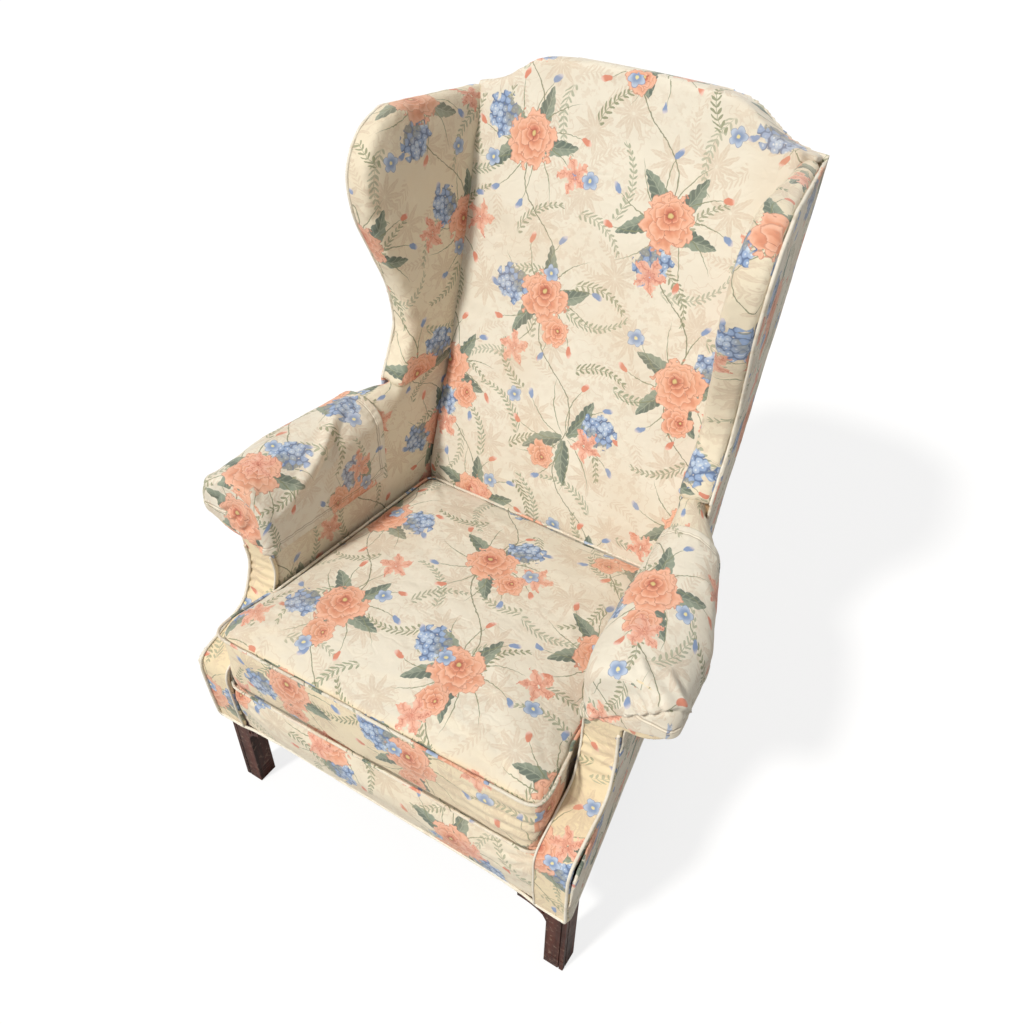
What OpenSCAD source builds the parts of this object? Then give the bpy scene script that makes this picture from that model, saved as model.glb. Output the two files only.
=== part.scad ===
// Upholstered wing chair with a loose seat cushion and loose arm covers.
// Millimetres. X is across the chair, Y runs from the front to the back, Z is up.
// Inside this file Y = 0 is the front plane of the upholstery and Z = 0 is the floor;
// at_row() then moves every piece so that the origin is the middle of the footprint.
// "Left" is the -X side, as seen by someone who faces the chair.

/* [Overall] */
// Front plane of the upholstery to the rearmost edge of the crest
overall_depth = 770; // [740:1:800]
// Floor to the top of the crest
overall_height = 1124; // [1090:1:1150]
// Width over the upholstery at the front corners
seat_front_w = 689; // [660:1:710]
// Floor to the underside of the seat rails
rail_z = 190; // [160:1:220]

/* [Slopes] */
// Turn of each outer side towards the middle at the back
side_yaw = 9; // [8:0.1:9.4]
// Outward lean of each outer side
side_lean = 3.5; // [2.5:0.1:4]
// Turn of the inner faces of the arms and wings
inner_yaw = 4.5; // [4:0.1:5]
// Outward lean of the inner faces of the wings
wing_lean = 3.8; // [3:0.1:4]
// Rake of the outside back
back_rake = 14; // [13:0.1:15]

/* [Seat frame] */
// Height of the seat rails
rail_h = 96; // [80:1:105]
// Thickness of the front and back rails
cross_rail_t = 28; // [22:1:32]
// Thickness of the side rails
side_rail_t = 24; // [18:1:26]
// Side of a corner block, along each rail
block_leg = 60; // [45:1:70]
// Height of a corner block
block_h = 60; // [40:1:70]
// Diameter of a corner block screw
screw_d = 5; // [4:0.5:6]
// Length of a corner block screw
screw_l = 32; // [26:1:34]

/* [Legs] */
// Side of the square front legs
leg_w = 35; // [32:1:40]
// Set-back of the front legs and the front rail behind the front plane
leg_y = 26; // [25:1:30]
// Set-back of the outer faces of the front legs from the front corners
leg_side_inset = 6; // [5:0.5:9]
// Step in the outer face of a front leg, where the upholstery covers it
leg_step = 6; // [5:0.5:8]
// Width of the incised lines on the front legs
quirk_w = 2; // [1.5:0.1:3]
// Depth of the incised lines on the front legs
quirk_depth = 2; // [1:0.5:3]
// Distance of the incised lines from the outer corner of a front leg
quirk_edge = 7; // [5:0.5:10]
// Length of a whole pierced bracket along the rail
bracket_l = 52; // [44:1:60]
// Length left of the pierced bracket on the -X leg, which is broken off
broken_bracket_l = 25; // [18:1:34]
// Height of a pierced bracket at the leg
bracket_h = 62; // [50:1:70]
// Height of a pierced bracket at its tip
bracket_tip = 34; // [28:1:40]
// Thickness of a pierced bracket
bracket_t = 10; // [7:1:12]
// Width of a slot in a bracket
slot_w = 3.6; // [3:0.2:4.4]
// Width of the rear legs, across the chair
rear_leg_w = 40; // [34:1:44]
// Depth of the rear legs at the floor
rear_foot_d = 34; // [30:1:40]
// Backward sweep of the rear legs below the rail
rear_sweep = 50; // [30:1:60]

/* [Back frame] */
// Depth of the back, from its inside face at the cushion to the rearmost edge of the crest
back_depth = 270; // [264:1:280]
// Thickness of the back at its top
crest_pad_t = 54; // [46:1:62]
// Thickness of the back posts and crest rail
post_t = 30; // [24:1:34]
// Width of the back posts
post_w = 45; // [38:1:52]
// Height of the crest rail below the shoulders
crest_rail_h = 62; // [50:1:75]
// Height of the lower back rail
lower_rail_h = 42; // [32:1:52]

/* [Arms and wings] */
// Floor to the top of the arm at the front
arm_top_z = 615; // [608:1:624]
// Half width of the arm roll at the front
roll_half_w = 64; // [60:1:68]
// Half height of the arm roll at the front
roll_half_h = 55; // [52:1:58]
// Rise of the arm between its front and the wing
arm_rise = 30; // [24:1:34]
// Y of the front of the arm scroll
scroll_y = 136; // [134:1:142]
// Width of an arm front at its foot, from the outer corner to the seat
arm_front_w = 56.5; // [54:0.5:60]
// Thickness of the upholstered arm front panels
front_panel_t = 7; // [5:0.5:8]
// Width of an arm stump
stump_w = 28; // [22:1:30]
// Thickness of the arm rails
arm_rail_t = 20; // [16:1:22]
// Thickness of the padding on the inside of the arms
arm_pad_t = 22; // [18:1:26]
// Thickness of the wing frame boards
wing_board_t = 18; // [14:1:18]
// Width of the wing post, front to back
wing_post_w = 46; // [38:1:52]
// Height of the wing top rail
wing_rail_h = 40; // [32:1:48]
// Padding over the front and top edges of the wing frame
wing_edge_pad = 12; // [8:1:14]

/* [Skins] */
// Thickness of the outside arm, wing and back panels
skin_t = 4; // [3:0.5:4]
// Clearance between a skin and the frame behind it
skin_gap = 1; // [0.5:0.1:1.5]
// Radius of the welts
welt_r = 3; // [2.4:0.1:3.2]

/* [Seat] */
// Thickness of one webbing strip
webbing_t = 1.5; // [1:0.1:2]
// Width of one webbing strip
webbing_w = 50; // [40:1:56]
// Thickness of the hessian sheets
hessian_t = 2; // [1:0.1:2.5]
// Thickness of the dust cover
dust_t = 1; // [0.8:0.1:1.4]
// Wire diameter of the seat springs
spring_wire = 3.6; // [3:0.1:4]
// Outer radius of a seat spring at its ends
spring_r = 44; // [38:1:48]
// Radius of a seat spring at its waist
spring_waist = 31; // [26:1:34]
// Turns of a seat spring
spring_turns = 4; // [3:1:5]
// Floor to the top of the seat deck
deck_z = 309.7; // [304:0.1:314]
// Depth of the padded lip along the front rail
lip_depth = 62; // [54:1:70]

/* [Cushion] */
// Clearance under the loose cushion
cushion_gap = 0.3; // [0.2:0.1:0.5]
// Height of the cushion's boxing
boxing_h = 122; // [100:1:130]
// Rise of the cushion's crown above its boxing
crown_h = 24; // [12:1:34]
// Thickness of the cushion's cover
cover_t = 2; // [1.5:0.1:3]
// Length of the zip in the cushion's rear boxing
zip_l = 380; // [300:1:420]
// Y of the cushion's front face
cushion_y = 18; // [14:1:24]
// Radius of the cushion's front corners
cushion_corner_r = 34; // [26:1:44]

/* [Arm covers] */
// Thickness of a loose arm cover
sleeve_t = 2.6; // [2:0.1:3]
// Gap between an arm and its loose cover
sleeve_gap = 0.8; // [0.5:0.1:1]
// Distance from the rear hem of an arm cover to the inside back
sleeve_short = 105; // [95:1:140]
// Floor to the lower hem of an arm cover, on the side of the seat
sleeve_hem_z = 500; // [486:1:512]
// Slope of that hem, which rises towards the outside
sleeve_slope = 18; // [14:1:20]

/* [Hidden] */

// Colours
wood_dark = [0.22, 0.13, 0.10];
wood_pale = [0.78, 0.62, 0.42];
chintz = [0.90, 0.83, 0.69];
chintz_deep = [0.84, 0.75, 0.60];
welt_white = [0.95, 0.92, 0.85];
jute = [0.66, 0.52, 0.34];
felt = [0.93, 0.92, 0.88];
steel = [0.62, 0.64, 0.66];
cambric = [0.10, 0.10, 0.11];

far = 1500;                     // longer than the chair, for cutting boxes
side_y = 20;                    // Y at which the outer sides are seat_front_w apart
rail_top = rail_z + rail_h;

// Outer side plane: its own axes are u (towards the back) and v (up the lean).
function side_v(z) = (z - rail_z) / cos(side_lean);
function side_u(y, z) = (y - side_y - side_v(z) * sin(side_yaw) * sin(side_lean)) / cos(side_yaw);
function outer_x(y, z) = seat_front_w / 2 - side_u(y, z) * sin(side_yaw)
  + side_v(z) * cos(side_yaw) * sin(side_lean);
function side_points(pts) = [for (p = pts) [side_u(p[0], p[1]), side_v(p[1])]];

// Inner faces of the arms (upright) and of the wings (leaning out)
wing_base_z = arm_top_z + arm_rise;
inner_half = seat_front_w / 2 - arm_front_w;     // half width of the seat at the front corners
function inner_x(y) = inner_half - (y - side_y) * tan(inner_yaw);

// Inside back: upright behind the cushion, reclined above it
recline_z = deck_z + boxing_h + 22;
inside_back_y = overall_depth - back_depth;      // inside back at the height of the cushion
back_recline = atan((back_depth - crest_pad_t * cos(back_rake)) / (overall_height - recline_z));

// Outside back plane
top_v = (overall_height - rail_z - crest_pad_t * sin(back_rake)) / cos(back_rake);
back_y = overall_depth - top_v * sin(back_rake);
function back_v(z) = (z - rail_z) / cos(back_rake);
function back_y_at(z) = back_y + (z - rail_z) * tan(back_rake);
function back_half(v) = outer_x(back_y + v * sin(back_rake), rail_z + v * cos(back_rake));

// Smooth curve through a few points
function blend4(a, b, c, d, t) = 0.5 * (2 * b + (c - a) * t + (2 * a - 5 * b + 4 * c - d) * t * t
  + (3 * b - a - 3 * c + d) * t * t * t);
function smooth(pts, n) = concat(
  [for (i = [0 : len(pts) - 2]) for (k = [0 : n - 1])
    blend4(pts[max(i - 1, 0)], pts[i], pts[i + 1], pts[min(i + 2, len(pts) - 1)], k / n)],
  [pts[len(pts) - 1]]);
function unit(v) = v / norm(v);
function turned(v) = [v[1], -v[0]];
function slope(pts, i) = unit(pts[min(i + 1, len(pts) - 1)] - pts[max(i - 1, 0)]);
// Every point of a flat curve moved sideways by d
function shifted(pts, d) = [for (i = [0 : len(pts) - 1]) pts[i] + d * turned(slope(pts, i))];
function backwards(pts) = [for (i = [len(pts) - 1 : -1 : 0]) pts[i]];
function mirrored(pts) = [for (p = backwards(pts)) [-p[0], p[1]]];

// Front edge of the arm front panel, seen from the side, as [Y, Z]
shelf_z = rail_z + 146;         // where the edge leaves the rail and sweeps back
neck_z = shelf_z + 124;         // narrowest place below the scroll
scroll_low = arm_top_z - 2 * roll_half_h; // lowest point of the scroll
front_edge = smooth([
  [13, rail_z], [9, rail_z + 50], [7, shelf_z - 46], [7, shelf_z - 12], [20, shelf_z + 8],
  [64, shelf_z + 25], [scroll_y - 27, shelf_z + 45], [scroll_y - 6, shelf_z + 84],
  [scroll_y + 3, neck_z], [scroll_y, scroll_low - 6], [scroll_y, scroll_low + 12]
], 4);

// Front and top edges of the wing, seen from the side, as [Y, Z]
wing_y = inside_back_y - 44;    // foot of the wing's front edge
wing_drop = 58;                 // front corner of the wing, below the top of the crest
wing_rise = overall_height - wing_drop - wing_base_z;
function on_wing(dy, f) = [wing_y + dy, wing_base_z + f * wing_rise];
wing_front = smooth([
  on_wing(0, 0), on_wing(33, 0.16), on_wing(41, 0.24), on_wing(35, 0.37), on_wing(15, 0.51),
  on_wing(-7, 0.66), on_wing(-10, 0.79), on_wing(3, 0.88), on_wing(29, 0.955), on_wing(68, 1)
], 4);
wing_top_back = [overall_depth - 6, wing_base_z + wing_rise - 16];

// Half of the crest, as [X, drop below the top], from the middle outwards
crest_half = smooth([[0, 0], [80, 1], [134, 4], [166, 12], [194, 29], [222, 46], [252, 55], [300, 61]], 4);
shoulder_drop = 61;

// Arm roll: stations as [Y, outer X, Z of the centre, half height]
roll_y = scroll_y + front_panel_t + 0.4;
roll_back_y = wing_y - 14;
roll_axis_z = arm_top_z - roll_half_h;
// A place along the arm, from 0 at its front to 1 at the wing
function arm_y(f) = roll_y + f * (roll_back_y - roll_y);
// One station of the arm roll, which stands out over the side of the chair by out
function roll_station(f, out, rise, thin) = let (z = roll_axis_z + rise * arm_rise)
  [arm_y(f), outer_x(arm_y(f), z) + out, z, roll_half_h - thin];
roll_stations = [
  [roll_y, inner_x(scroll_y) + 2 * roll_half_w, roll_axis_z, roll_half_h],
  roll_station(0.377, 68, 0.5, 4),
  roll_station(0.645, 48.6, 1.05, 10),
  roll_station(0.863, 32.1, 1.5, 16),
  roll_station(1, 6, 1.8, 22)
];

// ---------------------------------------------------------------- placing

module at_row() translate([0, -overall_depth / 2, 0]) children();
module left() mirror([1, 0, 0]) children();
module both() {
  children();
  mirror([1, 0, 0]) children();
}
module on_side() translate([seat_front_w / 2, side_y, rail_z]) rotate([0, 0, side_yaw])
  rotate([0, side_lean, 0]) children();
module on_back() translate([0, back_y, rail_z]) rotate([-back_rake, 0, 0]) children();
// A flat board parallel to the outer side, from inset to inset + t
module side_slab(inset, t) translate([-inset - t, 0, 0]) rotate([90, 0, 90]) linear_extrude(t) children();
// A flat board parallel to the outside back, from inset to inset + t
module back_slab(inset, t) translate([0, -inset, 0]) rotate([90, 0, 0]) linear_extrude(t) children();
// A shape drawn as [Y, Z], from x0 to x1
module across(x0, x1) translate([x0, 0, 0]) rotate([90, 0, 90]) linear_extrude(x1 - x0) children();
// Everything inside the inner face of the +X arm, and of the +X wing
module inside_arms() translate([inner_half, side_y, 0]) rotate([0, 0, inner_yaw])
  translate([-far, -far / 2, -far / 2]) cube([far, 2 * far, 2 * far]);
module inside_wings() translate([inner_half, side_y, wing_base_z]) rotate([0, 0, inner_yaw])
  rotate([0, wing_lean, 0]) translate([-far, -far / 2, -far / 2]) cube([far, 2 * far, 2 * far]);
// Everything behind the given depth below the outside back
module behind(inset) on_back() translate([-far / 2, -inset, -far / 2]) cube([far, far, 2 * far]);
module slice(z0, z1) translate([-far / 2, -far / 2, z0]) cube([far, 2 * far, z1 - z0]);

// A round tube along a path; side is a direction that the path never follows
module tube(path, r, sides, side, closed = false) {
  n = len(path);
  function before(i) = closed ? path[(i + n - 1) % n] : path[max(i - 1, 0)];
  function after(i) = closed ? path[(i + 1) % n] : path[min(i + 1, n - 1)];
  rings = [for (i = [0 : n - 1]) let (
    t = unit(after(i) - before(i)),
    a = unit(cross(side, t)),
    b = cross(t, a)
  ) for (k = [0 : sides - 1]) path[i] + r * (cos(360 * k / sides) * a + sin(360 * k / sides) * b)];
  walls = [for (i = [0 : (closed ? n - 1 : n - 2)]) for (k = [0 : sides - 1]) let (
    k2 = (k + 1) % sides,
    a = i * sides,
    b = ((i + 1) % n) * sides
  ) each [[b + k, b + k2, a + k2], [b + k, a + k2, a + k]]];
  caps = closed ? [] : [[for (k = [0 : sides - 1]) k], [for (k = [sides - 1 : -1 : 0]) (n - 1) * sides + k]];
  polyhedron(points = rings, faces = concat(walls, caps));
}

// A closed solid through rings that have as many points as each other, listed from the bottom up,
// with each ring anticlockwise as seen from above
module loft(rings) {
  n = len(rings[0]);
  last = n * (len(rings) - 1);
  walls = [for (i = [0 : len(rings) - 2]) for (k = [0 : n - 1]) let (
    a = i * n + k,
    b = i * n + (k + 1) % n
  ) each [[a, a + n, b + n], [a, b + n, b]]];
  polyhedron(points = [for (r = rings) each r], faces = concat(
    [[for (k = [0 : n - 1]) k]], walls, [[for (k = [n - 1 : -1 : 0]) last + k]]));
}

// ---------------------------------------------------------------- seat frame

leg_x = seat_front_w / 2 - leg_side_inset;       // outer face of a front leg
leg_in_x = leg_x - leg_w;                        // inner face of a front leg
leg_back_y = leg_y + leg_w;                      // rear face of a front leg
board_inset = skin_t + skin_gap;                 // frame boards behind the skins
rear_leg_x = back_half(0) - board_inset - 1;     // outer face of a rear leg
rear_leg_y = back_y - board_inset - 38;          // front face of a rear leg at the rail

module front_rail() color(wood_pale) at_row() difference() {
  translate([-leg_in_x, leg_y, rail_z]) cube([2 * leg_in_x, cross_rail_t, rail_h]);
  block_screws(screw_fit);
}

back_rail_half = rear_leg_x - rear_leg_w;
back_rail_y = rear_leg_y + 8;                    // front face of the back rail
module back_rail() color(wood_pale) at_row() difference() {
  translate([-back_rail_half, back_rail_y, rail_z]) cube([2 * back_rail_half, cross_rail_t, rail_h]);
  block_screws(screw_fit);
}

module side_rail() intersection() {
  on_side() side_slab(board_inset, side_rail_t) square([far, side_v(rail_top) + 10]);
  translate([0, leg_back_y, rail_z]) cube([far, rear_leg_y - leg_back_y, rail_h]);
}
module left_side_rail() color(wood_pale) at_row() left() side_rail();
module right_side_rail() color(wood_pale) at_row() side_rail();

// Corner blocks: triangles in the corners of the seat frame
block_z = rail_z + (rail_h - block_h) / 2;
front_block_y = leg_y + cross_rail_t;
front_block = [
  [leg_in_x, front_block_y], [leg_in_x - block_leg, front_block_y],
  [leg_in_x, leg_back_y + block_leg / 3], [leg_in_x, leg_back_y]
];
rear_block = [
  [back_rail_half, back_rail_y], [back_rail_half - block_leg, back_rail_y],
  [back_rail_half, rear_leg_y - block_leg / 3], [back_rail_half, rear_leg_y]
];
// Screws run along Y: shank through the block into the rail, head sunk in the block
screw_fit = 0.2;                 // added to a diameter for a hole
head_d = 1.9 * screw_d;
head_h = 3;
screw_seat = 8;                  // block left under a head
block_screw_x = block_leg * 0.4;
module screw(grow) {
  translate([0, -screw_seat, 0]) rotate([-90, 0, 0]) cylinder(d = screw_d + grow, h = screw_l, $fn = 32);
  translate([0, -screw_seat - (grow > 0 ? far / 20 : head_h), 0]) rotate([-90, 0, 0])
    cylinder(d = head_d + grow, h = grow > 0 ? far / 20 : head_h, $fn = 32);
}
module block_screws(grow) both() for (dz = [-14, 14]) {
  translate([leg_in_x - block_screw_x, front_block_y, block_z + block_h / 2 + dz])
    mirror([0, 1, 0]) screw(grow);
  translate([back_rail_half - block_screw_x, back_rail_y, block_z + block_h / 2 + dz]) screw(grow);
}
module corner_blocks() color(wood_pale) at_row() difference() {
  both() translate([0, 0, block_z]) {
    linear_extrude(block_h) polygon(front_block);
    linear_extrude(block_h) polygon(rear_block);
  }
  block_screws(screw_fit);
}
module corner_block_screws() color(steel) at_row() block_screws(0);

// ---------------------------------------------------------------- legs

module front_leg() difference() {
  translate([leg_in_x, leg_y, 0]) cube([leg_w, leg_w, rail_top]);
  translate([leg_x - leg_step, leg_y - 1, rail_z]) cube([leg_step + 1, leg_w + 2, rail_h + 1]);
  translate([leg_x - quirk_edge - quirk_w, leg_y - 1, -1]) cube([quirk_w, quirk_depth + 1, rail_z + 1]);
  translate([leg_x - quirk_depth, leg_y + quirk_edge, -1]) cube([quirk_depth + 1, quirk_w, rail_z + 1]);
}
module left_front_leg() color(wood_dark) at_row() left() front_leg();
module right_front_leg() color(wood_dark) at_row() front_leg();

// Pierced bracket under the front rail, against the inner face of a front leg
slots = 6;
bracket_margin = 5;
slot_pitch = (bracket_l - bracket_margin) / slots;
function bracket_edge(f) = bracket_tip + (bracket_h - bracket_tip) * (1 - sqrt(1 - f * f));
module leg_bracket(length) {
  start = bracket_l - length;
  translate([leg_in_x - bracket_l, leg_y + bracket_t, rail_z]) rotate([90, 0, 0])
    linear_extrude(bracket_t) difference() {
      polygon(concat([[start, 0]],
        [for (k = [0 : 8]) let (f = (start + length * k / 8) / bracket_l) [f * bracket_l, -bracket_edge(f)]],
        [[bracket_l, 0]]));
      for (i = [0 : slots - 1]) {
        x = bracket_margin + i * slot_pitch;
        low = bracket_edge(x / bracket_l) - 5;
        if (x > start + 2) translate([x, -low]) square([slot_w, low - 8]);
      }
    }
}
module left_leg_bracket() color(wood_dark) at_row() left() leg_bracket(broken_bracket_l);
module right_leg_bracket() color(wood_dark) at_row() leg_bracket(bracket_l);

module rear_leg() across(rear_leg_x - rear_leg_w, rear_leg_x) polygon([
  [rear_leg_y, rail_top], [rear_leg_y, rail_z],
  [rear_leg_y + rear_sweep, 0], [rear_leg_y + rear_sweep + rear_foot_d, 0],
  [back_y - board_inset - 1, rail_z],
  [back_y_at(rail_top) - board_inset - 1, rail_top]
]);
module left_rear_leg() color(wood_dark) at_row() left() rear_leg();
module right_rear_leg() color(wood_dark) at_row() rear_leg();

// ---------------------------------------------------------------- back frame

shoulder_v = top_v - shoulder_drop;
post_top_v = shoulder_v - crest_rail_h;
post_base_v = back_v(rail_top);
module back_post() difference() {
  on_back() back_slab(board_inset, post_t) polygon([
    [back_half(post_base_v - 20) - board_inset - 2 - post_w, post_base_v - 20],
    [back_half(post_base_v - 20) - board_inset - 2, post_base_v - 20],
    [back_half(post_top_v) - board_inset - 2, post_top_v],
    [back_half(post_top_v) - board_inset - 2 - post_w, post_top_v]
  ]);
  slice(0, rail_top);
}
module left_back_post() color(wood_pale) at_row() left() back_post();
module right_back_post() color(wood_pale) at_row() back_post();

// Crest outline, cut d below the upholstered one
function crest_line(d, half) = [for (p = crest_half) if (p[0] < half) [p[0], top_v - p[1] - d]];
function crest_outline(d, half, low) = concat(
  [[-half, low], [half, low], [half, top_v - shoulder_drop * 0.97 - d]],
  backwards(crest_line(d, half - 4)),
  [for (p = crest_line(d, half - 4)) if (p[0] > 0) [-p[0], p[1]]],
  [[-half, top_v - shoulder_drop * 0.97 - d]]);

crest_pad = 14;                  // padding over the crest rail
crest_rail_half = back_half(post_top_v) - board_inset - 2;
module crest_rail() color(wood_pale) at_row() on_back() back_slab(board_inset, post_t)
  polygon(crest_outline(crest_pad, crest_rail_half, post_top_v));

lower_rail_v = back_v(deck_z + 26);
function between_posts(v) = back_half(v) - board_inset - 2 - post_w;
lower_rail_end = [for (v = [lower_rail_v, lower_rail_v + lower_rail_h]) [between_posts(v), v]];
module lower_back_rail() color(wood_pale) at_row() on_back() back_slab(board_inset, post_t)
  polygon(concat(lower_rail_end, mirrored(lower_rail_end)));

// ---------------------------------------------------------------- arms

stump_x = inner_x(scroll_y) + 16;
arm_rail_z = roll_axis_z + 4;
stump_back_y = scroll_y + 52;
stump_foot_y = leg_back_y + 20;
module arm_stump() intersection() {
  across(stump_x, stump_x + stump_w) polygon(concat(
    [[leg_y, rail_top - 1]],
    [for (p = shifted(front_edge, front_panel_t + 1)) if (p[1] > rail_top - 30) p],
    [[scroll_y + front_panel_t + 4, arm_rail_z + 40], [stump_back_y, arm_rail_z + 40],
     [stump_back_y, neck_z - 40], [stump_foot_y, rail_top], [stump_foot_y, rail_top - 1]]
  ));
  slice(rail_top, arm_rail_z);
}
module left_arm_stump() color(wood_pale) at_row() left() arm_stump();
module right_arm_stump() color(wood_pale) at_row() arm_stump();

arm_rail_back_y = back_y_at(arm_rail_z) - (board_inset + post_t) / cos(back_rake);
function arm_rail_outer(y) = outer_x(y, arm_rail_z) - board_inset - 1;
module arm_rail() translate([0, 0, arm_rail_z]) linear_extrude(arm_rail_t) polygon([
  [stump_x, roll_y + 5],
  [arm_rail_outer(roll_y + 5) + 39, roll_y + 5],
  [arm_rail_outer(arm_y(0.337)) + 50, arm_y(0.337)],
  [arm_rail_outer(arm_y(0.578)) + 24, arm_y(0.578)],
  [arm_rail_outer(arm_y(0.81)), arm_y(0.81)],
  [arm_rail_outer(arm_rail_back_y), arm_rail_back_y - 1],
  [arm_rail_outer(arm_rail_back_y) - 24, arm_rail_back_y - 1]
]);
module left_arm_rail() color(wood_pale) at_row() left() arm_rail();
module right_arm_rail() color(wood_pale) at_row() arm_rail();

// ---------------------------------------------------------------- wing frame

wing_board_inset = skin_t + 0.5;
wing_post_base = arm_rail_z + arm_rail_t;
function pushed(pts, dy) = [for (p = pts) [p[0] + dy, p[1]]];
wing_post_front = [for (p = shifted(wing_front, wing_edge_pad)) if (p[1] < wing_base_z + wing_rise - 29) p];
module wing_post() difference() {
  on_side() side_slab(wing_board_inset, wing_board_t) polygon(side_points(concat(
    [[wing_post_front[0][0], wing_post_base - 10]], wing_post_front,
    backwards(pushed(wing_post_front, wing_post_w)),
    [[wing_post_front[0][0] + wing_post_w, wing_post_base - 10]])));
  slice(0, wing_post_base);
}
module left_wing_post() color(wood_pale) at_row() left() wing_post();
module right_wing_post() color(wood_pale) at_row() wing_post();

wing_front_top = wing_front[len(wing_front) - 1];
wing_top_slope = (wing_top_back[1] - wing_front_top[1]) / (wing_top_back[0] - wing_front_top[0]);
function wing_frame_top(y) = wing_front_top[1] + (y - wing_front_top[0]) * wing_top_slope - wing_edge_pad - 1;
wing_rail_y = wing_post_front[len(wing_post_front) - 1][0] + wing_post_w; // where post and rail meet
module wing_rail() difference() {
  on_side() side_slab(wing_board_inset, wing_board_t) polygon(side_points([
    for (p = [[wing_rail_y, wing_rail_h], [overall_depth + 40, wing_rail_h],
      [overall_depth + 40, 0], [wing_rail_y, 0]]) [p[0], wing_frame_top(p[0]) - p[1]]
  ]));
  behind(board_inset + post_t);
}
module left_wing_rail() color(wood_pale) at_row() left() wing_rail();
module right_wing_rail() color(wood_pale) at_row() wing_rail();

// ---------------------------------------------------------------- seat suspension

web_top = rail_z;
well_depth = back_rail_y - front_block_y;        // between the front and back rails
web_x = [for (f = [-0.573, -0.191, 0.191, 0.573]) f * inner_half];
web_y = [for (f = [0.124, 0.334, 0.545, 0.755]) front_block_y + f * well_depth];
module seat_webbing() color(jute) at_row() {
  for (x = web_x) translate([x - webbing_w / 2, leg_y + 6, web_top - webbing_t])
    cube([webbing_w, rear_leg_y + 30 - leg_y - 6, webbing_t]);
  for (y = web_y) {
    half = outer_x(y, rail_z) - board_inset - 8 - webbing_w * tan(side_yaw) / 2;
    translate([-half, y - webbing_w / 2, web_top - 2 * webbing_t]) cube([2 * half, webbing_w, webbing_t]);
  }
}

spring_h = rail_top - rail_z;
spring_x = [for (f = [-0.52, 0, 0.52]) f * inner_half];
spring_y = [for (f = [0.173, 0.461, 0.749]) front_block_y + f * well_depth];
spring_steps = 9;                // straight pieces in one turn
function spring_path(x, y) = [for (k = [0 : spring_turns * spring_steps]) let (
  f = k / (spring_turns * spring_steps),
  a = 360 * k / spring_steps,
  r = spring_waist + (spring_r - spring_waist) * pow(abs(2 * f - 1), 1.5) - spring_wire / 2
) [x + r * cos(a), y + r * sin(a), rail_z + spring_wire / 2 + f * (spring_h - spring_wire)]];
module seat_springs() color(steel) at_row() for (x = spring_x) for (y = spring_y)
  tube(spring_path(x, y), spring_wire / 2, 6, [0, 0, 1]);

hessian_front = front_block_y - 12;
hessian_back = rear_leg_y - 1;
hessian_side = board_inset + side_rail_t / 2;    // the hessian is tacked along the middle of a rail
hessian_half = [
  [outer_x(hessian_back, rail_top) - hessian_side, hessian_back],
  [outer_x(stump_foot_y + 1, rail_top) - hessian_side, stump_foot_y + 1],
  [stump_x - 1, stump_foot_y + 1], [stump_x - 1, hessian_front]
];
module spring_hessian() color(jute) at_row() translate([0, 0, rail_top])
  linear_extrude(hessian_t) polygon(concat(hessian_half, mirrored(hessian_half)));

deck_back = inside_back_y + 24;
module deck_pad() color(felt) at_row() translate([0, 0, rail_top + hessian_t])
  linear_extrude(deck_z - rail_top - hessian_t) polygon([
    [-inner_x(lip_depth), lip_depth], [inner_x(lip_depth), lip_depth],
    [inner_x(deck_back), deck_back], [-inner_x(deck_back), deck_back]
  ]);

border_half = inner_half - 1;
border_edge = smooth([
  [leg_y - 2, rail_z], [leg_y - 6, rail_z + 20], [leg_y - 11, rail_z + 50], [leg_y - 13, rail_z + 75],
  [leg_y - 13, rail_top + 2], [leg_y - 8, deck_z - 8], [leg_y + 4, deck_z - 1], [leg_y + 14, deck_z]
], 4);
module front_border() color(chintz) at_row() difference() {
  across(-border_half, border_half) polygon(concat(border_edge, [
    [lip_depth, deck_z], [lip_depth, rail_top + hessian_t], [hessian_front - 0.5, rail_top + hessian_t],
    [hessian_front - 0.5, rail_top + 0.3], [leg_y, rail_top + 0.3], [leg_y, rail_z]
  ]));
  both() translate([inner_half - 0.3, side_y, 0]) rotate([0, 0, inner_yaw]) cube(far);
}

dust_inset = 14;
module dust_cover() color(cambric) at_row() translate([0, 0, rail_z - 2 * webbing_t - dust_t])
  linear_extrude(dust_t) polygon(concat(
    [[leg_in_x - 2, leg_y + bracket_t + 2], [leg_in_x - 2, leg_back_y + 3]],
    [for (y = [leg_back_y + 3, rear_leg_y - 3]) [outer_x(y, rail_z) - dust_inset, y]],
    [[back_rail_half - 2, rear_leg_y - 3], [back_rail_half - 2, back_y - dust_inset]],
    [[2 - back_rail_half, back_y - dust_inset], [2 - back_rail_half, rear_leg_y - 3]],
    [for (y = [rear_leg_y - 3, leg_back_y + 3]) [dust_inset - outer_x(y, rail_z), y]],
    [[2 - leg_in_x, leg_back_y + 3], [2 - leg_in_x, leg_y + bracket_t + 2]]
  ));

// ---------------------------------------------------------------- back upholstery

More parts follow.
